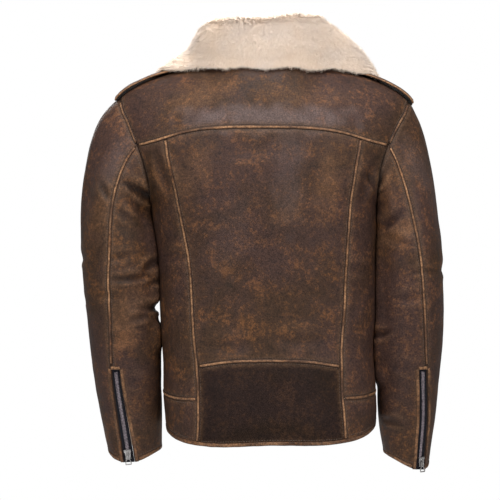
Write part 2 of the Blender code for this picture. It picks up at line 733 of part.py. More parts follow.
def add_mesh(name, points, faces, finish, collection, hinge=None):
    """A closed mesh as an object. hinge, if given, is where its origin goes."""
    points = np.asarray(points, float).reshape(-1, 3)
    if hinge is not None:
        points = points - hinge
    mesh = bpy.data.meshes.new(name)
    mesh.from_pydata([tuple(p) for p in points], [], faces)
    work = bmesh.new()
    work.from_mesh(mesh)
    bmesh.ops.triangulate(work, faces=[f for f in work.faces if len(f.verts) > 3])
    bmesh.ops.recalc_face_normals(work, faces=work.faces)
    work.to_mesh(mesh)
    work.free()
    mesh.shade_smooth()
    mesh.set_sharp_from_angle(angle=math.radians(40))
    mesh.materials.append(finish)
    made = bpy.data.objects.new(name, mesh)
    if hinge is not None:
        made.location = hinge
    collection.objects.link(made)
    return made


def pulled_in(layer, gap):
    """A grid with its four edges moved back into the panel, to leave each seam's gap."""
    moved = layer.copy()
    for edge, inside in ((0, 1), (-1, -2)):
        moved[edge] += gap * unit(layer[inside] - layer[edge])
        moved[:, edge] += gap * unit(layer[:, inside] - layer[:, edge])
    return moved


def wall_faces(rows, strips):
    """Faces of a closed wall: the outer grid, the inner grid and the rim between them."""
    size = rows * strips
    faces = []
    for i in range(rows - 1):
        for j in range(strips - 1):
            k = i * strips + j
            faces.append((k, k + strips, k + strips + 1, k + 1))
            faces.append((k + size, k + size + 1, k + size + strips + 1, k + size + strips))
    rim = [j for j in range(strips)] + [i * strips + strips - 1 for i in range(1, rows)]
    rim += [(rows - 1) * strips + j for j in range(strips - 2, -1, -1)]
    rim += [i * strips for i in range(rows - 2, 0, -1)]
    for a, b in zip(rim, rim[1:] + rim[:1]):
        faces.append((a, b, b + size, a + size))
    return faces


def wall(name, outer, inner, finish, collection):
    points = np.concatenate([outer.reshape(-1, 3), inner.reshape(-1, 3)])
    return add_mesh(name, points, wall_faces(*outer.shape[:2]), finish, collection)


def bar_faces(rings, around):
    """Faces of a closed bar: rings of the same number of points, with an end on each."""
    faces = [tuple(range(around - 1, -1, -1)), tuple(range((rings - 1) * around, rings * around))]
    for i in range(rings - 1):
        for j in range(around):
            k = (j + 1) % around
            faces.append((i * around + j, i * around + k, (i + 1) * around + k, (i + 1) * around + j))
    return faces


def cut_back(columns, start, end):
    """Shortens a seam's table of points by a length at each end, measured along its line."""
    for length in (start, end):
        while length > 0:
            step = np.linalg.norm(columns[1, :3] - columns[0, :3])
            if step > length * 1.2:
                columns = columns.copy()
                columns[0] += (columns[1] - columns[0]) * (length / step)
                length = 0
            else:
                columns = columns[1:]
                length -= step
        columns = columns[::-1]
    return columns


def strip_along(name, line, sides, profile, finish, collection, ends=(0.0, 0.0)):
    """A strip laid on the panels along a line. sides holds, for each of the two sides, the
    next panel point beyond the line; profile is the strip's section, as pairs of across and
    up, with across negative on the first side."""
    seam, normals = line
    table = np.concatenate([seam, normals, sides[0], sides[1]], axis=1)
    table = cut_back(table, *ends)
    seam, normals, first, second = (table[:, 3 * i:3 * i + 3] for i in range(4))
    first, second, normals = unit(first - seam), unit(second - seam), unit(normals)
    rings = []
    for across, up in profile:
        rings.append(seam + (first if across < 0 else second) * abs(across) + normals * up)
    return add_mesh(name, np.stack(rings, axis=1), bar_faces(len(seam), len(profile)), finish, collection)


def welt_profile():
    half, top = WELT_WIDTH / 2, LIFT + WELT_HEIGHT
    shoulder, low = half * WELT_SHOULDER[0], top * WELT_SHOULDER[1]
    return ((-half, LIFT), (0.0, LIFT), (half, LIFT), (shoulder, low), (0.0, top), (-shoulder, low))


def edge_profile():
    top = LIFT + EDGE_HEIGHT
    return ((0.0, LIFT), (EDGE_WIDTH, LIFT), (EDGE_WIDTH * 0.85, top), (EDGE_WIDTH * 0.2, top))


def blocks(across, along, up, filled):
    """Points and faces of a closed solid made of filled cells. across and along hold a row of
    lines for each layer of cells; up holds the heights; filled(i, j, k) says which are solid."""
    points, faces, index = [], [], {}
    cells = {(i, j, k) for i in range(len(across[0]) - 1) for j in range(len(along) - 1)
             for k in range(len(up) - 1) if filled(i, j, k)}

    def corner(i, j, k):
        if (i, j, k) not in index:
            index[i, j, k] = len(points)
            points.append((across[j][i], along[j], up[k]))
        return index[i, j, k]

    for i, j, k in sorted(cells):
        around = {
            (-1, 0, 0): ((i, j, k), (i, j, k + 1), (i, j + 1, k + 1), (i, j + 1, k)),
            (1, 0, 0): ((i + 1, j, k), (i + 1, j + 1, k), (i + 1, j + 1, k + 1), (i + 1, j, k + 1)),
            (0, -1, 0): ((i, j, k), (i + 1, j, k), (i + 1, j, k + 1), (i, j, k + 1)),
            (0, 1, 0): ((i, j + 1, k), (i, j + 1, k + 1), (i + 1, j + 1, k + 1), (i + 1, j + 1, k)),
            (0, 0, -1): ((i, j, k), (i, j + 1, k), (i + 1, j + 1, k), (i + 1, j, k)),
            (0, 0, 1): ((i, j, k + 1), (i + 1, j, k + 1), (i + 1, j + 1, k + 1), (i, j + 1, k + 1)),
        }
        for (di, dj, dk), corners in around.items():
            if (i + di, j + dj, k + dk) not in cells:
                faces.append(tuple(corner(*c) for c in corners))
    return np.array(points), faces


# The jacket's pieces

def add_panels(grids, shared, finish, collection):
    for name, grid in grids.items():
        inner = grid - normals_of(grid, shared) * SKIN
        kind = finish["dark"] if name in DARK_PANELS else finish["hide"]
        wall(name, pulled_in(grid, SEAM_GAP / 2), pulled_in(inner, SEAM_GAP / 2), kind, collection)


def add_seams(grids, shared, finish, collection):
    """Raised seams. Each lists its line and the panel rows on its two sides."""
    yoke, centre, waist = grids["back_yoke"], grids["back_centre"], grids["back_waist"]
    beneath = np.concatenate([
        grids["back_side_left"][1, ::-1], centre[1, 1:-1], grids["back_side_right"][1]])
    last = yoke.shape[0] - 1
    seams = {
        "welt_yoke": (yoke[last], yoke[last - 1], beneath, (WELT_TRIM, WELT_TRIM)),
        "welt_waist": (waist[0], centre[-2], waist[1], (WELT_TRIM, WELT_TRIM)),
    }
    for side, sign in SIDES:
        column, beside = (0, 1) if sign > 0 else (-1, -2)
        panel, band, front = (grids[part + "_" + side] for part in ("back_side", "hem_band", "front"))
        line = np.concatenate([centre[:, column], waist[1:, column]])
        inside = np.concatenate([centre[:, beside], waist[1:, beside]])
        outside = np.concatenate([panel[:, 1], band[1:, 1]])
        seams["welt_back_" + side] = (line, inside, outside, (WELT_TRIM, EDGE_WIDTH + 0.001))
        above = np.concatenate([panel[-2], front[-2, 1:]])
        seams["welt_band_" + side] = (band[0], above, band[1], (WELT_TRIM, EDGE_WIDTH + 0.001))

        over, under = grids["sleeve_top_" + side], grids["sleeve_under_" + side]
        cap_back, cap_front = over[:, -YOKE_ROWS - 1:], over[:, :-YOKE_ROWS]
        seams["welt_armhole_back_" + side] = (
            cap_back[0], yoke[:, beside], cap_back[1], (STRAP_CLEAR, WELT_TRIM))
        reach = cap_front.shape[1]
        seams["welt_armhole_front_" + side] = (
            cap_front[0], front[reach - 1::-1, 1], cap_front[1], (WELT_TRIM, STRAP_CLEAR))
        zip_row = CAP_ROWS + ROWS_ABOVE_ZIP
        seams["welt_sleeve_back_" + side] = (
            over[:zip_row + 1, -1], over[:zip_row + 1, -2], under[:zip_row + 1, 1],
            (WELT_TRIM, EDGE_WIDTH + 0.001))
        seams["welt_sleeve_front_" + side] = (
            over[:, 0], over[:, 1], under[:, -2], (WELT_TRIM, EDGE_WIDTH + 0.001))
    for name, (line, first, second, ends) in seams.items():
        strip_along(name, (line, normals_of(line, shared)), (first, second), welt_profile(),
                    finish["edge"], collection, ends)


def add_edges(grids, shared, finish, collection):
    """Turned edges along the hem, the cuffs and the zips."""
    edges = {}
    left, waist, right = grids["hem_band_left"], grids["back_waist"], grids["hem_band_right"]
    hem = [np.concatenate([left[row, ::-1], waist[row, 1:-1], right[row]]) for row in (-1, -2)]
    edges["hem_edge"] = (hem[0], hem[1], (EDGE_WIDTH + 0.001, EDGE_WIDTH + 0.001))
    for side, sign in SIDES:
        over, under = grids["sleeve_top_" + side], grids["sleeve_under_" + side]
        cuff = [np.concatenate([under[row], over[row, 1:]]) for row in (-1, -2)]
        edges["cuff_edge_" + side] = (cuff[0], cuff[1], (EDGE_WIDTH + 0.001, EDGE_WIDTH + 0.001))
        row = CAP_ROWS + ROWS_ABOVE_ZIP
        edges["zip_edge_outer_" + side] = (over[row:, -1], over[row:, -2], (0.001, 0.0))
        edges["zip_edge_inner_" + side] = (under[row + 1:, 0], under[row + 1:, 1], (0.0, 0.0))
        front, band = grids["front_" + side], grids["hem_band_" + side]
        line, beside = (np.concatenate([front[:, column], band[1:, column]]) for column in (-1, -2))
        edges["front_edge_" + side] = (line, beside, (0.002, 0.0))
    for name, (line, inside, ends) in edges.items():
        strip_along(name, (line, normals_of(line, shared)), (inside, inside), edge_profile(),
                    finish["edge"], collection, ends)


def collar_grid():
    """The collar's leather side: stations round the neck by places up the stand, over the
    fold and down the fall. It stops one strip short of the zip at each end."""
    swings = neck_swings()[:-1]
    outs, overs = np.meshgrid(np.linspace(-0.19, 0.19, 96), np.linspace(-115, 70, 75), indexing="ij")
    surface = over_shoulder(outs, overs)
    outward = over_shoulder_normal(outs, overs)
    surface, outward = surface.reshape(-1, 3), outward.reshape(-1, 3)
    up = np.array([0.0, 0.0, 1.0])

    def station(side, sign, swing):
        share = swing / swings[-1]
        stand, out, over, clear, bulge = (
            through(COLLAR[side], column, share) for column in Fall._fields[1:])
        turn, height = neck_line(swing)
        foot = body_points(sign * turn, height) + up * COLLAR_SEAM_RISE
        edge = over_shoulder(sign * out, over) + over_shoulder_normal(sign * out, over) * clear
        away = unit((edge - foot) * np.array([1.0, 1.0, 0.0]))
        path = [foot, foot + up * stand * 0.5, foot + up * stand]
        for turned in FOLD_TURNS:
            a = math.radians(turned)
            path.append(path[2] + (away * (1 - math.cos(a)) + up * math.sin(a)) * FOLD_RADIUS)
        start = path[-1]
        line = edge - start
        across = unit(up * (line @ away) - away * (line @ up))
        for t in shares(FALL_ROWS)[1:]:
            p = start + line * t + across * bulge * 4 * t * (1 - t)
            nearest = np.argmin(((surface - p) ** 2).sum(axis=1))
            short = clear - (p - surface[nearest]) @ outward[nearest]
            path.append(p + outward[nearest] * max(0.0, short))
        return path

    left = [station("left", 1.0, swing) for swing in swings[::-1]]
    right = [station("right", -1.0, swing) for swing in swings[1:]]
    return np.array(left + right)


def grid_normals(grid):
    along = np.gradient(grid, axis=0)
    down = np.gradient(grid, axis=1)
    return unit(np.cross(down, along))


def add_collar(finish, collection):
    hide = collar_grid()
    outward = grid_normals(hide)
    full = np.array(PILE_FULL)[None, :] * np.ones((len(hide), 1))
    full[[0, -1]] *= PILE_END
    full[[1, -2]] *= (1 + PILE_END) / 2
    wool = hide + outward * (HIDE + PILE * full)[..., None]
    wool[:, -1] += unit(hide[:, -1] - hide[:, -2]) * PILE_OVERHANG
    wall("collar", wool, hide, finish["wool"], collection)


def add_straps(finish, collection):
    """Shoulder straps, sewn in over the armhole seam and tucked under the collar."""
    half = STRAP_WIDTH / 2
    across = np.linspace(-1.0, 1.0, 5)
    for side, sign in SIDES:
        under = []
        for out, lift in STRAP:
            depth = np.where(across > 0, BODY[-2].back, BODY[-2].front) * STRAP_FLAT
            over = np.degrees(np.arcsin(across * half / depth))
            row = over_shoulder(sign * out, over) + over_shoulder_normal(sign * out, over) * lift
            under.append(row)
        under = np.array(under)
        normal = grid_normals(under)
        normal *= np.sign(normal[..., 2:])
        wall("epaulette_" + side, under + normal * STRAP_THICK, under, finish["hide"], collection)


def reaches(line):
    """Distance of each of a line's points from its start."""
    return np.concatenate([[0.0], np.cumsum(np.linalg.norm(np.diff(line, axis=0), axis=1))])


def value_at(line, values, distance):
    """A row of values that go with a line's points, at a distance from the line's start."""
    reach = reaches(line)
    return np.array([np.interp(distance, reach, column) for column in values.T])


def add_zip(name, edges, edge_normals, chain_ends, slider_down, finish, collection):
    """A zip between two edges: its tape, chain, slider and pull tab. slider_down places the
    slider's middle along the chain."""
    first, second = edges
    across = unit(second - first)
    normals = sum(edge_normals)
    normals = unit(normals - across * (normals * across).sum(axis=1, keepdims=True))
    middle = (first + second) / 2
    layers = []
    for sunk in (TAPE_SUNK, TAPE_SUNK + TAPE_THICK):
        columns = (first - edge_normals[0] * sunk + across * TAPE_CLEAR,
                   middle - normals * (sunk + TAPE_DIP),
                   second - edge_normals[1] * sunk - across * TAPE_CLEAR)
        layers.append(np.stack(columns, axis=1))
    wall("zip_tape_" + name, *layers, finish["tape"], collection)

    table = np.concatenate([middle, normals, across], axis=1)
    table = cut_back(table, *chain_ends)
    line, up, side = (table[:, 3 * i:3 * i + 3] for i in range(3))
    low = CHAIN_GAP - TAPE_SUNK
    high = low + CHAIN_THICK
    half = CHAIN_WIDTH / 2
    rings = np.stack([line + side * a + up * b for a, b in (
        (-half, low), (half, low), (half, high - CHAIN_ROUND), (half - CHAIN_ROUND, high),
        (CHAIN_ROUND - half, high), (-half, high - CHAIN_ROUND))], axis=1)
    add_mesh("zip_chain_" + name, rings, bar_faces(len(line), 6), finish["metal"], collection)

    at = value_at(line, line, slider_down)
    ahead, behind = (value_at(line, line, slider_down + step) for step in (0.004, -0.004))
    down = unit(ahead - behind)
    out = value_at(line, up, slider_down)
    out = unit(out - down * (out @ down))
    hinge_axis = np.cross(down, out)
    frame = np.array([hinge_axis, down, out])

    plate = high + CHAIN_GAP
    bridge = BRIDGE_LENGTH / 2
    lines = [-SLIDER_LENGTH / 2, -bridge, -bridge + BRIDGE_BAR,
             bridge - BRIDGE_BAR, bridge, SLIDER_LENGTH / 2]
    widths = [(-w, -BRIDGE_HALF, BRIDGE_HALF, w) for w in SLIDER_HALF_WIDTHS]
    heights = [plate, plate + SLIDER_PLATE, plate + SLIDER_PLATE + HINGE_ROOM,
               plate + SLIDER_PLATE + HINGE_ROOM + BRIDGE_BAR]

    def in_slider(i, j, k):
        return k == 0 or (i == 1 and (j in (1, 3) if k == 1 else 1 <= j <= 3))

    points, faces = blocks(widths, lines, heights, in_slider)
    add_mesh("zip_slider_" + name, at + points @ frame, faces, finish["metal"], collection)

    hinge = at + out * (plate + SLIDER_PLATE + HINGE_ROOM / 2 - HINGE_DROP)
    weight = np.array([0.0, 0.0, -1.0])
    lean = max(0.0, math.atan2(weight @ out, weight @ down))
    hang = down * math.cos(lean) + out * math.sin(lean)
    frame = np.array([hinge_axis, hang, np.cross(hinge_axis, hang)])
    rows = [(-t.half_width, -t.half_hole, t.half_hole, t.half_width) for t in TAB]

    def in_tab(i, j, k):
        return i != 1 or not TAB[j].open

    points, faces = blocks(rows, [t.down for t in TAB], [-TAB_THICK / 2, TAB_THICK / 2], in_tab)
    add_mesh("zip_pull_" + name, hinge + points @ frame, faces, finish["metal"], collection, hinge)


def add_zips(grids, shared, finish, collection):
    row = CAP_ROWS + ROWS_ABOVE_ZIP + 1
    for side, sign in SIDES:
        over, under = grids["sleeve_top_" + side][row:, -1], grids["sleeve_under_" + side][row:, 0]
        edges = (over, under) if sign < 0 else (under, over)
        down = reaches((over + under) / 2)[-1] - sum(CUFF_CHAIN_ENDS) - CUFF_SLIDER_UP
        normals = [normals_of(edge, shared) for edge in edges]
        add_zip("cuff_" + side, edges, normals, CUFF_CHAIN_ENDS, down, finish, collection)
    edges = []
    for side, _ in SIDES:
        front, band = grids["front_" + side], grids["hem_band_" + side]
        edges.append(np.concatenate([front[:, -1], band[1:, -1]]))
    normals = [normals_of(edge, shared) for edge in edges]
    add_zip("front", edges, normals, FRONT_CHAIN_ENDS, FRONT_PULL_DOWN, finish, collection)


def build():
    for made in list(bpy.data.objects):
        bpy.data.objects.remove(made, do_unlink=True)
    collection = bpy.data.collections.new("flying_jacket")
    bpy.context.scene.collection.children.link(collection)
    finish = finishes()
    grids = body_grids()
    grids.update(sleeve_grids())
    shared = gather_normals(grids)
    add_panels(grids, shared, finish, collection)
    add_seams(grids, shared, finish, collection)
    add_edges(grids, shared, finish, collection)
    add_zips(grids, shared, finish, collection)
    add_straps(finish, collection)
    add_collar(finish, collection)


build()
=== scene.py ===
import math

import bmesh
import bpy
import numpy as np
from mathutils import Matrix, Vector, kdtree, noise


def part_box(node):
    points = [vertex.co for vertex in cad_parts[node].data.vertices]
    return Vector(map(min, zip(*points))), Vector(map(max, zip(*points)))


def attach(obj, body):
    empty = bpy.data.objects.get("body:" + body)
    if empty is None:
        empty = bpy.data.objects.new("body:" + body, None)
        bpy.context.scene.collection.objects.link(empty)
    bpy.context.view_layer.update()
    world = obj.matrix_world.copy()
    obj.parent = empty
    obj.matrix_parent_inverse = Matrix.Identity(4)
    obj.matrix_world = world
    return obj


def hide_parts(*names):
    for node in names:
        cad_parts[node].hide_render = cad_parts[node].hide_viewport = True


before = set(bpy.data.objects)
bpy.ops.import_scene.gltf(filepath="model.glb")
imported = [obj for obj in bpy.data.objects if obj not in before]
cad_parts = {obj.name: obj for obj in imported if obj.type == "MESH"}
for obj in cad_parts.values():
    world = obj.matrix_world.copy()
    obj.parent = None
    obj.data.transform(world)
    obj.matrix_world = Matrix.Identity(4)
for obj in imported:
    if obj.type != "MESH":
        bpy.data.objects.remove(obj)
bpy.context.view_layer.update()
rng = np.random.default_rng(7)
sides = {"left": 1.0, "right": -1.0}
print("frame loaded")


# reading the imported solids

def unit(v):
    return v / np.maximum(np.linalg.norm(v, axis=-1, keepdims=True), 1e-12)


def bestTurn(ring, before):  # the turn and direction of a ring that lie nearest to the ring before
    tries = [np.roll(way, k, axis=0) for way in (ring, ring[::-1]) for k in range(len(ring))]
    return min(tries, key=lambda tried: ((tried - before) ** 2).sum())


def flatRegions(work, least):  # groups of faces with no sharp edge between them
    regions = []
    done = set()
    for start in work.faces:
        if start in done:
            continue
        done.add(start)
        stack = [start]
        found = []
        while stack:
            face = stack.pop()
            found.append(face)
            for edge in face.edges:
                for other in edge.link_faces:
                    if other not in done and face.normal.dot(other.normal) > least:
                        done.add(other)
                        stack.append(other)
        regions.append([tuple(v.index for v in face.verts) for face in found])
    return sorted(regions, key=len)


def peel(region, triangles, touching):  # rings of points, from one end of a solid to the other
    seed = {v for triangle in region for v in triangle}
    if len(seed) != len(region) + 2:
        return None
    rings = [seed]
    used = set(seed)
    following = seed
    while following:
        following = {v for p in rings[-1] for t in touching[p] for v in triangles[t]} - used
        if following and len(following) != len(seed):
            return None
        if following:
            rings.append(following)
            used |= following
    return rings if len(rings) > 1 and len(used) == len(touching) else None


def inOrder(ring, triangles, touching):  # a ring's points, walked round
    near = {v: set() for v in ring}
    for v in ring:
        for t in touching[v]:
            inside = [p for p in triangles[t] if p in ring]
            if len(inside) == 2:
                near[inside[0]].add(inside[1])
                near[inside[1]].add(inside[0])
    walk = [min(ring)]
    while len(walk) < len(ring):
        onward = sorted(v for v in near[walk[-1]] if v not in walk)
        if not onward:
            return None
        walk.append(onward[0])
    return walk


def openSolid(node):
    work = bmesh.new()
    work.from_mesh(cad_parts[node].data)
    bmesh.ops.remove_doubles(work, verts=work.verts, dist=2e-5)
    bmesh.ops.triangulate(work, faces=work.faces)
    work.normal_update()
    work.verts.index_update()
    points = np.array([v.co for v in work.verts])
    return work, points, [tuple(v.index for v in face.verts) for face in work.faces]


def readRings(node):
    # every cloth and trim solid is a stack of rings with the same number of points; this
    # finds an end and walks from it
    work, points, triangles = openSolid(node)
    touching = [[] for _ in points]
    for t, triangle in enumerate(triangles):
        for v in triangle:
            touching[v].append(t)
    for least in (0.70, 0.90, 0.45, 0.98, 0.20):
        for region in flatRegions(work, least):
            rings = peel(region, triangles, touching)
            walks = [inOrder(ring, triangles, touching) for ring in rings] if rings else [None]
            if None in walks:
                continue
            work.free()
            rows = [points[walks[0]]]
            for walk in walks[1:]:
                rows.append(bestTurn(points[walk], rows[-1]))
            return np.array(rows)
    raise RuntimeError("no rings in " + node)


def hostCentre(name):  # a point inside the body or the sleeve that a node belongs to
    if not any(word in name for word in ("sleeve", "cuff", "zip_edge")):
        return np.zeros(3)
    side = name.rsplit("_", 1)[1]
    low, high = (np.array(corner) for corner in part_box("sleeve_top_" + side))
    return (low + high) / 2 * np.array([1.0, 1.0, 0.0])


def outwards(name, points):
    return unit((points - hostCentre(name)) * np.array([1.0, 1.0, 0.0]))


def readFaces(node):
    # the two large sides of a solid as grids: the outline's four corners give the first row,
    # and each next row is what touches the row before
    work, points, triangles = openSolid(node)
    grids = []
    for region in flatRegions(work, 0.5)[-2:]:
        touching = {}
        onward = {}
        for triangle in region:
            for a, b in zip(triangle, triangle[1:] + triangle[:1]):
                touching.setdefault(a, set()).update(triangle)
                onward[a, b] = True
        onward = dict(pair for pair in onward if pair[::-1] not in onward)
        walk = [min(onward)]
        while onward[walk[-1]] != walk[0]:
            walk.append(onward[walk[-1]])
        half = len(walk) // 2
        short = round((half + 2 - math.sqrt((half + 2) ** 2 - 4 * len(touching))) / 2) - 1
        steps = unit(np.roll(points[walk], -1, axis=0) - points[walk])
        turn = 1 - (steps * np.roll(steps, 1, axis=0)).sum(axis=1)
        first = int(np.argmax(sum(np.roll(turn, -k) for k in (0, short, half, half + short))))
        walk = walk[first:] + walk[:first]
        rows = [walk[:short + 1]]
        used = set(rows[0])
        while len(used) < len(touching):
            following = set().union(*(touching[v] for v in rows[-1])) - used
            row = [walk[-len(rows)]]
            while len(row) < len(following):
                row.append(next(v for v in touching[row[-1]] & following if v not in row))
            rows.append(row)
            used |= following
        grids.append(points[np.array(rows)])
    work.free()
    one, two = grids
    ways = [two[::i, ::j] for i in (1, -1) for j in (1, -1)]
    return one, min(ways, key=lambda way: np.linalg.norm(one - way, axis=-1).sum())


def readWall(node):
    # a wall's outer and inner grids, rows running down and columns so that
    # row direction x column direction points outwards
    if node == "collar":
        one, two = readFaces(node)
    else:
        rings = readRings(node)
        half = rings.shape[1] // 2
        splits = []
        for k in range(half):
            turned = np.roll(rings, -k, axis=1)
            splits.append((turned[:, :half], turned[:, half:][:, ::-1]))
        one, two = min(splits, key=lambda pair: np.linalg.norm(pair[0] - pair[1], axis=-1).sum())
    if node == "collar":
        swap = np.linalg.norm(np.diff(one, axis=1), axis=-1).sum() < np.linalg.norm(
            np.diff(two, axis=1), axis=-1).sum()
    elif "epaulette" in node:
        swap = one[..., 2].mean() < two[..., 2].mean()
    else:
        swap = ((one - two) * outwards(node, one)).sum() < 0
    outer, inner = (two, one) if swap else (one, two)
    fall = [np.abs(unit(np.diff(outer, axis=axis))[..., 2]).mean() for axis in (0, 1)]
    if fall[1] > fall[0]:
        outer, inner = outer.swapaxes(0, 1), inner.swapaxes(0, 1)
    if outer[0, :, 2].mean() < outer[-1, :, 2].mean():
        outer, inner = outer[::-1], inner[::-1]
    facing = np.cross(outer[1:, 1:] - outer[:-1, :-1], outer[:-1, 1:] - outer[1:, :-1])
    if (facing * (outer - inner)[1:, 1:]).sum() < 0:
        outer, inner = outer[:, ::-1], inner[:, ::-1]
    return outer, inner


# smooth surfaces through the solids' points

def smoothThrough(points, at, want):  # along the first axis; a corner in a line stays a corner
    shape = (-1,) + (1,) * (points.ndim - 1)
    step = np.diff(at).reshape(shape)
    rise = np.diff(points, axis=0) / step
    if len(rise) == 1:
        into, out = rise, rise
    else:
        middle = (rise[:-1] * step[1:] + rise[1:] * step[:-1]) / (step[:-1] + step[1:])
        bend = (unit(rise[:-1]) * unit(rise[1:])).sum(axis=-1, keepdims=True)
        corner = np.clip((0.93 - bend) / 0.2, 0, 1)
        out = np.concatenate([2 * rise[:1] - middle[:1], middle + (rise[1:] - middle) * corner])
        into = np.concatenate([middle + (rise[:-1] - middle) * corner, 2 * rise[-1:] - middle[-1:]])
    i = np.clip(np.searchsorted(at, want) - 1, 0, len(rise) - 1)
    t = ((want - at[i]) / np.diff(at)[i]).reshape(shape)
    start, end = out[i] * step[i], into[i] * step[i]
    return ((2 * t**3 - 3 * t**2 + 1) * points[i] + (t**3 - 2 * t**2 + t) * start
            + (3 * t**2 - 2 * t**3) * points[i + 1] + (t**3 - t**2) * end)


def reaches(grid):  # mean distance of each row from the first
    steps = np.linalg.norm(np.diff(grid, axis=0), axis=-1)
    return np.concatenate([[0.0], np.cumsum(steps.mean(axis=tuple(range(1, steps.ndim))))])


def places(total, spacing, insets):  # crowded at both ends, even between
    insets = [inset for inset in insets if inset < total * 0.3]
    last = insets[-1] + spacing * 0.7
    count = max(2, round((total - 2 * last) / spacing) + 1)
    even = np.linspace(last, total - last, count)
    return np.concatenate([insets, even, total - np.array(insets)[::-1]])


def refine(grids, spacing, insets):
    # several grids over the same panel, sampled finely at the same places
    down = reaches(grids[0])
    across = reaches(grids[0].swapaxes(0, 1))
    rows = places(down[-1], spacing, insets)
    columns = places(across[-1], spacing, insets)
    made = []
    for grid in grids:
        tall = smoothThrough(grid, down, rows)
        made.append(smoothThrough(tall.swapaxes(0, 1), across, columns).swapaxes(0, 1))
    return made


def gridNormals(grid):
    return unit(np.cross(np.gradient(grid, axis=0), np.gradient(grid, axis=1)))


def borderDistances(grid):  # from each of the four borders: top, bottom, first column, last column
    down = np.linalg.norm(np.diff(grid, axis=0), axis=-1)
    down = np.concatenate([np.zeros((1, grid.shape[1])), np.cumsum(down, axis=0)])
    over = np.linalg.norm(np.diff(grid, axis=1), axis=-1)
    over = np.concatenate([np.zeros((grid.shape[0], 1)), np.cumsum(over, axis=1)], axis=1)
    return np.stack([down, down[-1:] - down, over, over[:, -1:] - over])


def noiseAt(points, scale, seed=0.0):
    shift = Vector((seed, seed * 1.7, seed * 0.6))
    flat = [noise.noise(Vector(p) * scale + shift) for p in points.reshape(-1, 3)]
    return np.array(flat).reshape(points.shape[:-1])


# materials

def newMaterial(name):
    material = bpy.data.materials.new(name)
    material.use_nodes = True
    nodes = material.node_tree.nodes
    return material, nodes, material.node_tree.links, nodes["Principled BSDF"]


def addNode(nodes, links, kind, values=(), inputs=()):
    made = nodes.new(kind)
    for name, value in dict(values).items():
        setattr(made, name, value)
    for name, value in dict(inputs).items():
        if isinstance(value, bpy.types.NodeSocket):
            links.new(value, made.inputs[name])
        else:
            made.inputs[name].default_value = value
    return made


def ramp(nodes, links, factor, stops):
    made = addNode(nodes, links, "ShaderNodeValToRGB", inputs={"Fac": factor})
    elements = made.color_ramp.elements
    while len(elements) < len(stops):
        elements.new(0.5)
    for element, (position, colour) in zip(elements, stops):
        element.position = position
        element.color = colour if len(colour) == 4 else (*colour, 1.0)
    return made.outputs["Color"]


def mixColour(nodes, links, factor, first, second, blend="MIX"):
    made = nodes.new("ShaderNodeMix")
    made.data_type = "RGBA"
    made.blend_type = blend
    for socket, value in ((made.inputs[0], factor), (made.inputs[6], first), (made.inputs[7], second)):
        if isinstance(value, bpy.types.NodeSocket):
            links.new(value, socket)
        else:
            socket.default_value = value
    return made.outputs[2]


def mathNode(nodes, links, operation, first, second=0.5, clamp=False):
    made = nodes.new("ShaderNodeMath")
    made.operation = operation
    made.use_clamp = clamp
    for socket, value in ((made.inputs[0], first), (made.inputs[1], second)):
        if isinstance(value, bpy.types.NodeSocket):
            links.new(value, socket)
        else:
            socket.default_value = value
    return made.outputs[0]


def noiseNode(nodes, links, where, scale, detail=3.0, roughness=0.55, distortion=0.0):
    return addNode(nodes, links, "ShaderNodeTexNoise", inputs={
        "Vector": where, "Scale": scale, "Detail": detail, "Roughness": roughness,
        "Distortion": distortion}).outputs["Fac"]


hideLook = {
    "base": (0.032, 0.0148, 0.0088),
    "deep": (0.012, 0.0062, 0.0042),
    "tan": (0.112, 0.045, 0.016),
    "plum": (0.037, 0.0225, 0.0208),
    "olive": (0.026, 0.0155, 0.0075),
    "cool": 0.40,  # share of the plum and olive cloud over the brown
    "rub": (0.230, 0.122, 0.062),
    "patch": (0.115, 0.056, 0.026),
    # painted sheen highlight: a lighter purple-grey that stands in for the lamps' reflection off the leather
    "sheen": (0.080, 0.057, 0.053),
    # painted shade colour, for crease troughs, the hollows beside seams and undersides
    "paintedShade": (0.009, 0.006, 0.005),
    "patchScale": 26.0,
    "cloudScale": 7.0,
    "grainScale": 620.0,
    "grainDepth": 0.00032,
    "specular": 0.11,
}


def attribute(nodes, links, name):
    return addNode(nodes, links, "ShaderNodeAttribute", {"attribute_name": name}).outputs["Fac"]


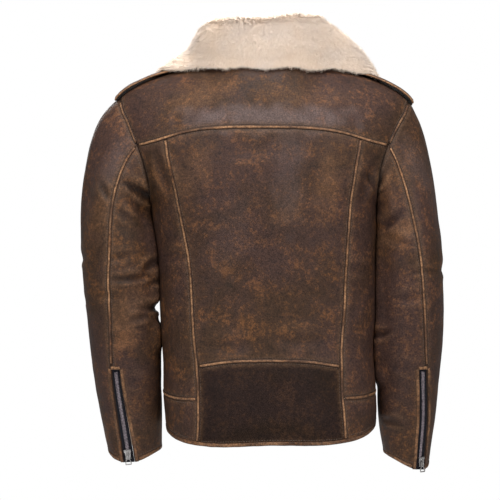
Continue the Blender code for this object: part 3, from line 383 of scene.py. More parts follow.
def hideMaterial(name, look, seed=0.0):
    # brushed-off hide: dark brown mottled with tan and plum, with patches of painted sheen highlight, rubbed
    # at the seams
    material, nodes, links, surface = newMaterial(name)
    where = nodes.new("ShaderNodeTexCoord").outputs["Object"]
    where = addNode(nodes, links, "ShaderNodeMapping", inputs={
        "Vector": where, "Location": (seed, seed * 0.7, seed * 0.3)}).outputs["Vector"]
    cloud = noiseNode(nodes, links, where, look["cloudScale"], 3.0, 0.55, 0.4)
    patch = noiseNode(nodes, links, where, look["patchScale"], 6.0, 0.70, 0.6)
    speck = noiseNode(nodes, links, where, look["patchScale"] * 6, 5.0, 0.72, 0.2)
    fleck = noiseNode(nodes, links, where, 420.0, 3.0, 0.65)
    tone = mathNode(nodes, links, "ADD", mathNode(nodes, links, "MULTIPLY", patch, 0.50),
                    mathNode(nodes, links, "MULTIPLY", speck, 0.50))
    brown = ramp(nodes, links, tone, (
        (0.39, look["deep"]), (0.46, look["base"]), (0.51, look["base"]), (0.61, look["tan"])))
    cool = ramp(nodes, links, cloud, ((0.40, look["olive"]), (0.60, look["plum"])))
    mottled = mixColour(nodes, links, look["cool"], brown, cool)
    # listed patches of tan and of painted sheen highlight, then the rub of the seams and the painted shade
    # beside them
    ragged = ramp(nodes, links, tone, ((0.38, (0.25,) * 3), (0.60, (1.0,) * 3)))
    tanned = mathNode(nodes, links, "MULTIPLY", attribute(nodes, links, "tanPatch"), ragged)
    mottled = mixColour(nodes, links, tanned, mottled, (*look["patch"], 1.0))
    # painted sheen highlight, laid where the listed patches say
    mottled = mixColour(nodes, links, attribute(nodes, links, "paintedSheenPatch"), mottled, (*look["sheen"], 1.0))
    worn = ramp(nodes, links, speck, ((0.34, (0.25,) * 3), (0.58, (1.0,) * 3)))
    worn = mathNode(nodes, links, "MULTIPLY", attribute(nodes, links, "wear"), worn)
    rubbed = mixColour(nodes, links, worn, mottled, (*look["rub"], 1.0))
    # painted shade: darker in crease troughs, beside the seams, on the flanks of raised seams and under the
    # straps
    dark = mixColour(nodes, links, attribute(nodes, links, "paintedShade"), rubbed, (*look["paintedShade"], 1.0))
    grained = ramp(nodes, links, fleck, ((0.34, (0.62,) * 3), (0.50, (1.0,) * 3), (0.68, (1.42,) * 3)))
    links.new(mixColour(nodes, links, 1.0, dark, grained, "MULTIPLY"), surface.inputs["Base Color"])
    rough = ramp(nodes, links, speck, ((0.30, (0.42,) * 3), (0.70, (0.66,) * 3)))
    links.new(rough, surface.inputs["Roughness"])
    grain = addNode(nodes, links, "ShaderNodeTexVoronoi", inputs={
        "Vector": where, "Scale": look["grainScale"], "Randomness": 0.9}).outputs["Distance"]
    height = mathNode(nodes, links, "ADD", grain, mathNode(nodes, links, "MULTIPLY", speck, 1.6))
    bump = addNode(nodes, links, "ShaderNodeBump", inputs={
        "Height": height, "Strength": 0.6, "Distance": look["grainDepth"]})
    links.new(bump.outputs["Normal"], surface.inputs["Normal"])
    surface.inputs["Specular IOR Level"].default_value = look["specular"]
    return material


woolLook = {
    "root": (0.740, 0.580, 0.450),
    "body": (0.860, 0.685, 0.535),
    "tip": (0.910, 0.775, 0.650),
    "grey": (0.810, 0.700, 0.620),
    "curlScale": 260.0,
}


def woolMaterial(name, look, strands):
    material, nodes, links, surface = newMaterial(name)
    where = nodes.new("ShaderNodeTexCoord").outputs["Object"]
    cloud = noiseNode(nodes, links, where, 16.0, 3.0, 0.5)
    curl = noiseNode(nodes, links, where, look["curlScale"], 4.0, 0.6, 0.5)
    warm = mixColour(nodes, links, ramp(nodes, links, cloud, ((0.38, (0.0,) * 3), (0.66, (1.0,) * 3))),
                     (*look["body"], 1.0), (*look["grey"], 1.0))
    if strands:
        tip = addNode(nodes, links, "ShaderNodeAttribute", {"attribute_name": "tip"}).outputs["Fac"]
        tone = addNode(nodes, links, "ShaderNodeAttribute", {"attribute_name": "tone"}).outputs["Fac"]
        warm = mixColour(nodes, links, tip, (*look["root"], 1.0), warm)
        warm = mixColour(nodes, links, mathNode(nodes, links, "MULTIPLY", tone, 0.55), warm,
                         (*look["tip"], 1.0))
    else:
        warm = mixColour(nodes, links, curl, (*look["root"], 1.0), warm)
    links.new(warm, surface.inputs["Base Color"])
    bump = addNode(nodes, links, "ShaderNodeBump", inputs={
        "Height": curl, "Strength": 0.8, "Distance": 0.0015})
    links.new(bump.outputs["Normal"], surface.inputs["Normal"])
    surface.inputs["Roughness"].default_value = 0.9
    surface.inputs["Specular IOR Level"].default_value = 0.15
    surface.inputs["Sheen Weight"].default_value = 0.30
    surface.inputs["Sheen Roughness"].default_value = 0.5
    return material


def tapeMaterial(name):
    material, nodes, links, surface = newMaterial(name)
    where = nodes.new("ShaderNodeTexCoord").outputs["Object"]
    weave = addNode(nodes, links, "ShaderNodeTexWave", {"bands_direction": "DIAGONAL"}, {
        "Vector": where, "Scale": 900.0, "Distortion": 1.0}).outputs["Fac"]
    fuzz = noiseNode(nodes, links, where, 900.0, 3.0)
    tone = ramp(nodes, links, fuzz, ((0.3, (0.004, 0.004, 0.006)), (0.7, (0.013, 0.0125, 0.016))))
    links.new(tone, surface.inputs["Base Color"])
    bump = addNode(nodes, links, "ShaderNodeBump", inputs={
        "Height": weave, "Strength": 0.5, "Distance": 0.0003})
    links.new(bump.outputs["Normal"], surface.inputs["Normal"])
    surface.inputs["Roughness"].default_value = 0.85
    surface.inputs["Specular IOR Level"].default_value = 0.08
    return material


def metalMaterial(name, colour, roughness):
    material, nodes, links, surface = newMaterial(name)
    where = nodes.new("ShaderNodeTexCoord").outputs["Object"]
    rub = noiseNode(nodes, links, where, 420.0, 4.0, 0.7)
    dark = tuple(c * 0.35 for c in colour)
    links.new(ramp(nodes, links, rub, ((0.35, dark), (0.6, colour))), surface.inputs["Base Color"])
    links.new(ramp(nodes, links, rub, ((0.3, (roughness + 0.2,) * 3), (0.7, (roughness,) * 3))),
              surface.inputs["Roughness"])
    surface.inputs["Metallic"].default_value = 1.0
    return material


def threadMaterial(name, colour):
    material, nodes, links, surface = newMaterial(name)
    where = nodes.new("ShaderNodeTexCoord").outputs["Object"]
    twist = noiseNode(nodes, links, where, 1500.0, 2.0)
    light = tuple(min(1.0, c * 1.8) for c in colour)
    links.new(ramp(nodes, links, twist, ((0.35, colour), (0.7, light))), surface.inputs["Base Color"])
    surface.inputs["Roughness"].default_value = 0.7
    return material


# painted shade: the waist band's hide is painted much darker, for the dimmer light at the bottom of the back
shadedWaistLook = dict(hideLook, base=(0.013, 0.0068, 0.0048), deep=(0.007, 0.0040, 0.0031),
                 tan=(0.032, 0.0150, 0.0078), plum=(0.014, 0.0085, 0.0078),
                 olive=(0.010, 0.0062, 0.0035), specular=0.05)
seamLook = dict(hideLook, cool=0.2)
finishes = {
    "hide": hideMaterial("distressedHide", hideLook),
    "waist": hideMaterial("shadedWaistHide", shadedWaistLook, 3.1),
    "seam": hideMaterial("rubbedSeam", seamLook, 1.3),
    "wool": woolMaterial("woolPile", woolLook, False),
    "strand": woolMaterial("woolStrand", woolLook, True),
    "tape": tapeMaterial("blackTape"),
    "chain": metalMaterial("darkTeeth", (0.42, 0.36, 0.39), 0.38),
    "slider": metalMaterial("brightZipMetal", (0.44, 0.42, 0.41), 0.28),
    "thread": threadMaterial("brownThread", (0.030, 0.019, 0.013)),
}
print("materials made")


# meshes

def addPiece(name, points, faces, materials, node, body="jacket", faceMaterial=None, values=None):
    mesh = bpy.data.meshes.new(name)
    faces = faces.tolist() if hasattr(faces, "tolist") else faces
    mesh.from_pydata(points.reshape(-1, 3).tolist(), [], faces)
    for material in materials:
        mesh.materials.append(material)
    if faceMaterial is not None:
        mesh.polygons.foreach_set("material_index", np.asarray(faceMaterial, np.int32))
    for key, value in (values or {}).items():
        layer = mesh.attributes.new(key, "FLOAT", "POINT")
        layer.data.foreach_set("value", np.asarray(value, np.float32).ravel())
    mesh.shade_smooth()
    made = bpy.data.objects.new(name, mesh)
    bpy.context.scene.collection.objects.link(made)
    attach(made, body)
    if node:
        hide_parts(*([node] if isinstance(node, str) else node))
    return made


def quadGrid(rows, columns, first=0, flip=False):
    i, j = np.meshgrid(np.arange(rows - 1), np.arange(columns - 1), indexing="ij")
    k = (first + i * columns + j).ravel()
    corners = [k, k + columns, k + columns + 1, k + 1]
    return np.stack(corners[::-1] if flip else corners, axis=1)


def wallFaces(rows, columns):  # outer grid, inner grid, rim; and which of the three each face is
    size = rows * columns
    rim = list(range(columns)) + [i * columns + columns - 1 for i in range(1, rows)]
    rim += [(rows - 1) * columns + j for j in range(columns - 2, -1, -1)]
    rim += [i * columns for i in range(rows - 2, 0, -1)]
    rim = np.array(rim)
    onward = np.roll(rim, -1)
    parts = [quadGrid(rows, columns), quadGrid(rows, columns, size, True),
             np.stack([rim, onward, onward + size, rim + size], axis=1)]
    return np.concatenate(parts), np.repeat([0, 1, 2], [len(part) for part in parts])


# cloth panels

clothLook = {
    "spacing": 0.0041,
    "insets": (0.0, 0.0020, 0.0045, 0.0090),  # extra grid lines beside each seam
    "soft": 0.0013,  # broad waves of the hide
    "softScale": 14.0,
    "dimple": 0.0005,
    "dimpleScale": 40.0,
    "pinch": 0.0011,  # how far a seam draws the hide in
    "pinchWidth": 0.0055,
    "pucker": 0.0006,
    "puckerScale": 105.0,
    "calmAtZip": (0.016, 0.045),  # no waves within the first distance of a zip
}
panelNodes = ["back_yoke", "back_centre", "back_waist"]
panelNodes += [part + "_" + side for part in ("back_side", "front", "hem_band", "sleeve_top", "sleeve_under")
               for side in sides]

# folds pressed into the hide, for each part of the jacket: the face they are on, the place of
# their middle on it, slope in degrees, half length, half width, depth, and how much they curve
creaseColumns = ("face", "across", "height", "slope", "length", "width", "depth", "curve")
creases = {
    "left sleeve": (
        ("back", 0.222, -0.215, -38, 0.042, 0.0070, 0.0078, -4.0),
        ("back", 0.204, -0.226, -52, 0.024, 0.0080, 0.0070, 0.0),
        ("back", 0.243, -0.258, -38, 0.026, 0.0065, 0.0028, 3.0),
        ("back", 0.277, -0.216, -60, 0.026, 0.0065, 0.0028, 4.0),
        ("back", 0.197, -0.341, 46, 0.024, 0.0060, 0.0052, 3.0),
        ("back", 0.229, -0.366, 6, 0.044, 0.0060, 0.0040, 3.0),
        ("back", 0.192, -0.370, 40, 0.018, 0.0055, 0.0040, 0.0),
        ("back", 0.250, -0.330, 10, 0.030, 0.0070, 0.0016, 3.0),
        ("back", 0.270, -0.395, -12, 0.030, 0.0080, 0.0018, 2.0),
        ("back", 0.215, -0.432, 18, 0.026, 0.0070, 0.0026, 0.0),
        ("back", 0.250, -0.470, 10, 0.030, 0.0090, 0.0016, 2.0),
        ("back", 0.228, -0.545, -14, 0.026, 0.0080, 0.0016, 0.0),
        ("front", 0.235, -0.335, 16, 0.046, 0.0085, 0.0050, 3.0),
        ("front", 0.250, -0.372, -8, 0.048, 0.0080, 0.0046, -3.0),
        ("front", 0.240, -0.405, -22, 0.036, 0.0080, 0.0034, 0.0),
        ("front", 0.228, -0.215, -48, 0.044, 0.0090, 0.0044, 3.0),
        ("left", 0.020, -0.330, 10, 0.040, 0.0090, 0.0022, 2.0),
        ("left", -0.020, -0.400, -14, 0.040, 0.0090, 0.0024, 2.0),
        ("right", 0.004, -0.4165, 0, 0.070, 0.0075, 0.0060, 0.0),
    ),
    "right sleeve": (
        ("back", -0.196, -0.196, 62, 0.030, 0.0065, 0.0052, 4.0),
        ("back", -0.218, -0.265, 44, 0.034, 0.0070, 0.0030, 0.0),
        ("back", -0.270, -0.354, 4, 0.034, 0.0055, 0.0018, 1.5),
        ("back", -0.196, -0.465, 33, 0.026, 0.0060, 0.0042, 0.0),
        ("back", -0.246, -0.400, 12, 0.036, 0.0085, 0.0018, 2.0),
        ("back", -0.220, -0.300, -20, 0.026, 0.0080, 0.0020, 0.0),
        ("back", -0.222, -0.615, -14, 0.026, 0.0060, 0.0026, 2.0),
        ("back", -0.240, -0.520, -10, 0.032, 0.0090, 0.0014, 0.0),
        ("front", -0.235, -0.345, -14, 0.046, 0.0085, 0.0050, 3.0),
        ("front", -0.250, -0.385, 10, 0.048, 0.0080, 0.0046, -3.0),
        ("front", -0.242, -0.425, 24, 0.036, 0.0080, 0.0034, 0.0),
        ("front", -0.222, -0.205, 48, 0.044, 0.0090, 0.0044, 3.0),
        ("right", 0.010, -0.350, 12, 0.040, 0.0090, 0.0022, 2.0),
        ("right", -0.030, -0.430, -12, 0.040, 0.0090, 0.0024, 2.0),
    ),
    "body": (
        ("back", 0.176, -0.190, -70, 0.050, 0.0090, 0.0030, 2.0),
        ("back", -0.172, -0.200, 70, 0.048, 0.0100, 0.0026, -2.0),
        ("back", -0.179, -0.199, -63, 0.018, 0.0055, 0.0036, 0.0),
        ("back", 0.150, -0.330, 8, 0.030, 0.0090, 0.0014, 2.0),
        ("back", -0.150, -0.350, -8, 0.030, 0.0090, 0.0014, 2.0),
        ("back", 0.060, -0.480, 4, 0.050, 0.0110, 0.0010, 1.0),
        ("back", -0.050, -0.470, -4, 0.055, 0.0110, 0.0010, 1.0),
        ("back", 0.020, -0.150, 6, 0.070, 0.0140, 0.0009, -1.0),
        ("front", 0.120, -0.240, 40, 0.060, 0.0120, 0.0030, 2.0),
        ("front", -0.118, -0.250, -42, 0.062, 0.0120, 0.0030, -2.0),
        ("front", 0.060, -0.430, 8, 0.060, 0.0110, 0.0018, 1.5),
        ("front", -0.066, -0.450, -8, 0.058, 0.0110, 0.0018, 1.5),
        ("front", 0.110, -0.500, -10, 0.050, 0.0100, 0.0020, -1.5),
        ("front", -0.104, -0.515, 10, 0.052, 0.0100, 0.0020, -1.5),
    ),
}
# rubbed patches, and patches of painted sheen highlight: face, place of the middle, slope, half length, half
# width, strength
patchColumns = ("face", "across", "height", "slope", "length", "width", "strength")
tanPatches = {
    "left sleeve": (
        ("back", 0.235, -0.430, 70, 0.050, 0.022, 0.55),
        ("back", 0.285, -0.250, 80, 0.050, 0.016, 0.35),
    ),
    "right sleeve": (
        ("back", -0.225, -0.286, 25, 0.032, 0.013, 0.70),
        ("back", -0.196, -0.225, 75, 0.040, 0.018, 0.45),
    ),
    "body": (
        ("back", -0.105, -0.200, 80, 0.055, 0.020, 0.55),
        ("back", 0.120, -0.185, 60, 0.040, 0.024, 0.40),
        ("back", 0.110, -0.055, 20, 0.050, 0.022, 0.40),
        ("back", -0.060, -0.060, 0, 0.070, 0.018, 0.25),
        ("back", -0.040, -0.250, 30, 0.030, 0.016, 0.25),
    ),
}
# painted sheen highlights: lighter purple-grey bands that stand in for the lamps' reflection
paintedSheenPatches = {
    "left sleeve": (("back", 0.262, -0.170, 60, 0.050, 0.016, 0.22),),
    "right sleeve": (("back", -0.265, -0.180, -60, 0.050, 0.018, 0.22),),
    "body": (
        ("back", 0.000, -0.095, 0, 0.120, 0.020, 0.70),
        ("back", -0.038, -0.180, 88, 0.090, 0.024, 0.20),
        ("back", 0.060, -0.290, 80, 0.060, 0.030, 0.10),
    ),
}
faceNormals = {"back": (0, 1, 0), "front": (0, -1, 0), "left": (1, 0, 0), "right": (-1, 0, 0)}


def garmentPart(node):
    side = node.rsplit("_", 1)[1]
    return side + " sleeve" if "sleeve" in node else "body"


def onFace(points, normals, spot):  # how much the cloth faces that way, and places along and off the line
    turned = np.clip(normals @ np.array(faceNormals[spot["face"]], float) * 1.6, 0, 1)
    side = points[..., 1 if spot["face"] in sides else 0] - spot["across"]
    # slopes are as a viewer of that face sees them
    side = -side if spot["face"] in ("back", "right") else side
    up = points[..., 2] - spot["height"]
    slope = math.radians(spot["slope"])
    along = side * math.cos(slope) + up * math.sin(slope)
    return turned, along, up * math.cos(slope) - side * math.sin(slope)


def creaseShape(points, normals, part):
    # soft troughs, steeper on their lower side, with a low ridge along each side
    lift = np.zeros(points.shape[:-1])
    for row in creases[part]:
        crease = dict(zip(creaseColumns, row))
        turned, along, off = onFace(points, normals, crease)
        off = off - crease["curve"] * along**2
        fade = np.clip(1 - (along / crease["length"]) ** 2, 0, 1) ** 1.5
        away = off / (crease["width"] * (0.6 + 0.4 * fade)) * np.where(off < 0, 1.5, 0.85)
        shape = 0.45 * np.exp(-((np.abs(away) - 1.8) / 0.85) ** 2) - np.exp(-away**2)
        lift += turned * fade * crease["depth"] * shape
    return lift


def patchShape(points, normals, rows):
    strength = np.zeros(points.shape[:-1])
    ragged = 0.55 * noiseAt(points, 55.0, 11.0)
    for row in rows:
        patch = dict(zip(patchColumns, row))
        turned, along, off = onFace(points, normals, patch)
        away = np.sqrt((along / patch["length"]) ** 2 + (off / patch["width"]) ** 2) + ragged
        strength = np.maximum(strength, turned * patch["strength"] * np.clip(1.5 - away, 0, 1))
    return strength


zipPoints = np.concatenate([readRings("zip_tape_" + which).reshape(-1, 3)
                            for which in ("front", "cuff_left", "cuff_right")])


def calmNearZips(points):
    gap = np.linalg.norm(points.reshape(-1, 1, 3) - zipPoints[None], axis=-1).min(axis=1)
    near, far = clothLook["calmAtZip"]
    return np.clip((gap.reshape(points.shape[:-1]) - near) / (far - near), 0, 1)


def shapePanel(node):
    outer, inner = refine(readWall(node), clothLook["spacing"], clothLook["insets"])
    normals = gridNormals(outer)
    edges = borderDistances(outer)
    gap = edges.min(axis=0)
    folded = creaseShape(outer, normals, garmentPart(node))
    waves = (clothLook["soft"] * noiseAt(outer, clothLook["softScale"])
             + clothLook["dimple"] * noiseAt(outer, clothLook["dimpleScale"], 5.0))
    pucker = clothLook["pucker"] * noiseAt(outer, clothLook["puckerScale"], 9.0) * np.exp(
        -((gap - 0.009) / 0.008) ** 2)
    calm = calmNearZips(outer)
    pinch = clothLook["pinch"] * np.exp(-(gap / clothLook["pinchWidth"]) ** 2)
    lift = (folded + waves + pucker) * calm - pinch
    moved = normals * lift[..., None]
    rub = np.clip(folded / 0.0016, 0, 1) * 0.22 + np.exp(-(gap / 0.007) ** 2) * 0.35
    # painted shade in the crease troughs and in the hollows beside the seams
    paintedShade = 0.85 * np.clip(-folded / 0.0065, 0, 1) ** 1.4 + 0.85 * np.exp(-(gap / 0.0052) ** 2)
    return {"outer": outer, "inner": inner, "normals": normals, "gap": gap, "moved": moved,
            "wear": rub, "paintedShade": np.clip(paintedShade, 0, 0.9),
            "tanPatch": patchShape(outer, normals, tanPatches[garmentPart(node)]),
            # painted sheen highlight, laid as patches
            "paintedSheenPatch": patchShape(outer, normals, paintedSheenPatches[garmentPart(node)])}


panels = {node: shapePanel(node) for node in panelNodes}


# sleeves rest against the body as far down as they are seen to, and never quite touch it
restLook = {"reach": 0.019, "close": 0.010, "clear": 0.0007}
restHeights = {"left": ((-0.492, 0), (-0.482, 1), (-0.446, 1), (-0.438, 0), (-0.408, 0), (-0.400, 1)),
               "right": ((-0.553, 0), (-0.540, 1))}


def step(values, low, high):
    t = np.clip((values - low) / (high - low), 0, 1)
    return t * t * (3 - 2 * t)


def treeOf(points):
    tree = kdtree.KDTree(len(points))
    for index, point in enumerate(points):
        tree.insert(point, index)
    tree.balance()
    return tree


def restSleeves(side):
    body = [panels[name + "_" + side] for name in ("back_side", "front", "hem_band")] + [panels["back_yoke"]]
    points = np.concatenate([(panel["outer"] + panel["moved"]).reshape(-1, 3) for panel in body])
    normals = np.concatenate([panel["normals"].reshape(-1, 3) for panel in body])
    tree = treeOf(points)
    heights, shares = zip(*restHeights[side])
    for node in ("sleeve_top_" + side, "sleeve_under_" + side):
        panel = panels[node]
        place = panel["outer"] + panel["moved"]
        near = np.array([tree.find(Vector(p))[1] for p in place.reshape(-1, 3)]).reshape(place.shape[:-1])
        gap = points[near] - place
        long = np.linalg.norm(gap, axis=-1, keepdims=True)
        way = gap / np.maximum(long, 1e-9)
        faces = (step((way * panel["normals"]).sum(axis=-1), 0.2, 0.6)
                 * step(-(way * normals[near]).sum(axis=-1), 0.2, 0.6))
        pull = faces * (1 - step(long[..., 0], restLook["close"], restLook["reach"]))
        pull = pull * np.interp(place[..., 2], heights, shares)
        move = way * np.maximum(long - restLook["clear"], 0) * pull[..., None]
        for _ in range(2):
            wide = np.pad(move, ((1, 1), (1, 1), (0, 0)), mode="edge")
            move = (wide[:-2, 1:-1] + wide[2:, 1:-1] + wide[1:-1, :-2] + wide[1:-1, 2:] + 2 * move) / 6
        panel["moved"] = panel["moved"] + move
        print(node, "rests", round(float(np.linalg.norm(move, axis=-1).max()) * 1000, 1), "mm")


for side in sides:
    restSleeves(side)
print("panels shaped", sum(panel["outer"][..., 0].size for panel in panels.values()))

surfacePoints = np.concatenate([panel["outer"].reshape(-1, 3) for panel in panels.values()])
surfaceMoves = np.concatenate([panel["moved"].reshape(-1, 3) for panel in panels.values()])
surfaceNormals = np.concatenate([panel["normals"].reshape(-1, 3) for panel in panels.values()])
nearTree = treeOf(surfacePoints)


def carried(points, count=4):  # how far the cloth beneath each point has moved
    moves = []
    for point in points.reshape(-1, 3):
        found = [item[1] for item in nearTree.find_n(point, count)]
        moves.append(surfaceMoves[found].mean(axis=0))
    return np.array(moves).reshape(points.shape)


def addPanel(node, panel):
    outer = panel["outer"] + panel["moved"]
    inner = panel["inner"] + panel["moved"]
    faces, kinds = wallFaces(*outer.shape[:2])
    zero = np.zeros(outer.shape[:2])
    # the waist band takes the hide painted darker with shade
    finish, slot = ("waist", "dark_hide") if node == "back_waist" else ("hide", "distressed_hide")
    values = {key: np.stack([panel[key], zero]) for key in ("wear", "paintedShade", "tanPatch", "paintedSheenPatch")}
    made = addPiece(node + "_cloth", np.concatenate([outer.reshape(-1, 3), inner.reshape(-1, 3)]), faces,
                    (finishes[finish], finishes["wool"]), node,
                    faceMaterial=(kinds == 1).astype(int), values=values)
    return made


for node, panel in panels.items():
    addPanel(node, panel)
print("cloth panels made")


# raised seams and turned edges

ridgeLook = {"spacing": 0.004, "sunk": 0.0007, "points": 9}


def sectionFrames(rings):
    # each ring's foot, the directions across and up, and its width and height
    centres = rings.mean(axis=1)
    tangent = unit(np.gradient(centres, axis=0))
    near = np.array([nearTree.find(Vector(centre))[1] for centre in centres])
    up = surfaceNormals[near]
    up = unit(up - tangent * (up * tangent).sum(axis=1, keepdims=True))
    across = np.cross(tangent, up)
    off = rings - centres[:, None]
    sideways = (off * across[:, None]).sum(axis=-1)
    height = (off * up[:, None]).sum(axis=-1)
    foot = (centres + across * ((sideways.max(axis=1) + sideways.min(axis=1)) / 2)[:, None]
            + up * height.min(axis=1)[:, None])
    return foot, across, up, np.ptp(sideways, axis=1), np.ptp(height, axis=1)


def addRidge(node, power, rub, finish="seam"):
    rings = readRings(node)
    foot, across, up, width, height = sectionFrames(rings)
    at = reaches(foot)
    want = np.linspace(0, at[-1], max(3, round(at[-1] / ridgeLook["spacing"])))
    foot, across, up = (smoothThrough(value, at, want) for value in (foot, across, up))
    width, height = (np.interp(want, at, value) for value in (width, height))
    foot = foot + carried(foot)
    turns = np.linspace(-1, 1, ridgeLook["points"])
    rise = (1 - np.abs(turns) ** power) ** (1 / power)
    wobble = 1 + 0.10 * noiseAt(foot, 90.0, 2.0)
    points = (foot[:, None] + across[:, None] * (turns[None, :, None] * (width / 2 * wobble)[:, None, None])
              + up[:, None] * (rise[None, :, None] * (height * wobble)[:, None, None] - ridgeLook["sunk"]))
    count, around = points.shape[:2]
    i, j = np.meshgrid(np.arange(count - 1), np.arange(around), indexing="ij")
    k = (j + 1) % around
    faces = np.stack([i * around + j, i * around + k, (i + 1) * around + k, (i + 1) * around + j], axis=-1)
    faces = faces.reshape(-1, 4).tolist()
    faces += [list(range(around))[::-1], [(count - 1) * around + j for j in range(around)]]
    patchy = np.clip(0.70 + 1.1 * noiseAt(foot, 24.0, 3.0), 0.15, 1.0)
    wear = rub * patchy[:, None] * np.clip((rise[None] - 0.78) / 0.2, 0, 1)
    # painted shade on the lower flanks of the ridge, where it meets the cloth
    paintedShade = 0.9 * np.clip((0.86 - rise[None]) / 0.4, 0, 1) * np.ones((count, 1))
    return addPiece(node + "_ridge", points, faces, (finishes[finish],), node,
                    values={"wear": wear, "paintedShade": paintedShade})


ridgeNodes = [name for name in sorted(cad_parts) if name.startswith("welt") or "edge" in name]
for node in ridgeNodes:
    turnedEdge = "edge" in node
    addRidge(node, 3.4 if turnedEdge else 2.3, 0.6 if turnedEdge else 1.0)
print("raised seams made", len(ridgeNodes))


# stitching

stitchLook = {"pitch": 0.0044, "length": 0.0031, "width": 0.0009, "height": 0.00045}
turnedBorders = {"hem_band": (1,), "back_waist": (1,), "front": (3,), "sleeve": (1,)}


def stitchRow(line, normals):  # stitches along a line on a panel
    at = reaches(line)
    count = int((at[-1] - 0.012) / stitchLook["pitch"])
    if count < 2:
        return np.zeros((0, 10, 3))
    want = 0.006 + stitchLook["pitch"] * (np.arange(count) + 0.5)
    place = np.stack([np.interp(want, at, line[:, i]) for i in range(3)], axis=1)
    ahead = np.stack([np.interp(want + 0.001, at, line[:, i]) for i in range(3)], axis=1)
    up = unit(np.stack([np.interp(want, at, normals[:, i]) for i in range(3)], axis=1))
    along = unit(ahead - place)
    across = np.cross(up, along)
    half, wide, high = stitchLook["length"] / 2, stitchLook["width"] / 2, stitchLook["height"]
    shape = [(-half, 0, -high * 0.4), (half, 0, -high * 0.4)]
    shape += [(x, y, z) for x in (-half * 0.6, half * 0.6) for y, z in (
        (-wide, 0), (0, high), (wide, 0), (0, -high))]
    return np.stack([place + along * x + across * y + up * z for x, y, z in shape], axis=1)


stitchFaces = [(0, 2 + j, 2 + (j + 1) % 4) for j in range(4)]
stitchFaces += [(2 + j, 6 + j, 6 + (j + 1) % 4, 2 + (j + 1) % 4) for j in range(4)]
stitchFaces += [(1, 6 + (j + 1) % 4, 6 + j) for j in range(4)]


def borderLines(panel, inset):
    grid = panel["outer"] + panel["moved"]
    normals = panel["normals"]
    return [(grid[inset], normals[inset]), (grid[-1 - inset], normals[-1 - inset]),
            (grid[:, inset], normals[:, inset]), (grid[:, -1 - inset], normals[:, -1 - inset])]


def addStitches(name, rows):
    stitches = np.concatenate(rows)
    corners = np.arange(len(stitches))[:, None] * 10
    faces = [face for corner in corners[:, 0].tolist() for face in
             [tuple(corner + v for v in stitch) for stitch in stitchFaces]]
    return addPiece(name, stitches, faces, (finishes["thread"],), None)


for part in ("back", "front", "hem_band", "sleeve"):
    rows = []
    for node, panel in panels.items():
        if not node.startswith(part):
            continue
        for border in range(4):
            turned = any(node.startswith(key) and border in value for key, value in turnedBorders.items())
            line, normals = borderLines(panel, 3 if turned else 2)[border]
            rows.append(stitchRow(line, normals))
    addStitches(part + "_stitches", rows)
print("stitching made")


# shoulder straps

strapLook = {"spacing": 0.004, "insets": (0.0, 0.0012, 0.0032), "stitchInset": 2}
for side in sides:
    node = "epaulette_" + side
    outer, inner = refine(readWall(node), strapLook["spacing"], strapLook["insets"])
    normals = gridNormals(outer)
    gap = borderDistances(outer).min(axis=0)
    lift = 0.0006 * noiseAt(outer, 30.0, 4.0) - 0.0011 * np.exp(-(gap / 0.0016) ** 2)
    outer = outer + normals * lift[..., None]
    inner = inner + normals * (0.0008 * np.exp(-(gap / 0.0016) ** 2))[..., None]
    faces, kinds = wallFaces(*outer.shape[:2])
    zero = np.zeros(gap.shape)
    # the strap's underside is painted with shade at half strength
    strap = addPiece(node + "_strap", np.stack([outer, inner]), faces, (finishes["hide"],), node,
                     values={"wear": np.stack([np.exp(-(gap / 0.003) ** 2) * 0.9, zero]),
                                                "paintedShade": np.stack([zero, zero + 0.5])})
    addStitches(node + "_stitches", [stitchRow(*line) for line in borderLines(
        {"outer": outer, "moved": 0.0, "normals": normals}, strapLook["stitchInset"])])
print("straps made")


# zips

zipLook = {"pitch": 0.0027, "toothLong": 0.0040, "toothWide": 0.0019, "toothHigh": 0.0021, "overlap": 0.0006}


def addTape(which):
    node = "zip_tape_" + which
    outer, inner = refine(readWall(node), 0.006, (0.0, 0.001))
    faces, kinds = wallFaces(*outer.shape[:2])
    tape = addPiece(node + "_woven", np.stack([outer, inner]), faces, (finishes["tape"],), node)


def addTeeth(which):
    node = "zip_chain_" + which
    foot, across, up, width, height = sectionFrames(readRings(node))
    at = reaches(foot)
    want = np.arange(zipLook["pitch"], at[-1] - zipLook["pitch"] / 2, zipLook["pitch"] / 2)
    place, across, up = (smoothThrough(value, at, want) for value in (foot, across, up))
    across, up = unit(across), unit(up)
    along = np.cross(up, across)
    side = np.where(np.arange(len(want)) % 2 == 0, 1.0, -1.0)[:, None]
    inner, outer = -zipLook["overlap"], zipLook["toothLong"] - zipLook["overlap"]
    wide, high = zipLook["toothWide"] / 2, zipLook["toothHigh"]
    shape = [(inner, -wide, 0), (outer, -wide, 0), (outer, wide, 0), (inner, wide, 0),
             (inner + 0.0006, -wide * 0.6, high), (outer - 0.0007, -wide * 0.6, high * 0.75),
             (outer - 0.0007, wide * 0.6, high * 0.75), (inner + 0.0006, wide * 0.6, high)]
    teeth = np.stack([place + across * side * x + along * y * side + up * z for x, y, z in shape], axis=1)
    box = [(3, 2, 1, 0), (4, 5, 6, 7), (0, 1, 5, 4), (1, 2, 6, 5), (2, 3, 7, 6), (3, 0, 4, 7)]
    faces = [tuple(8 * t + v for v in face) for t in range(len(teeth)) for face in box]
    made = addPiece(node + "_teeth", teeth, faces, (finishes["chain"],), node)
    made.data.set_sharp_from_angle(angle=math.radians(35))


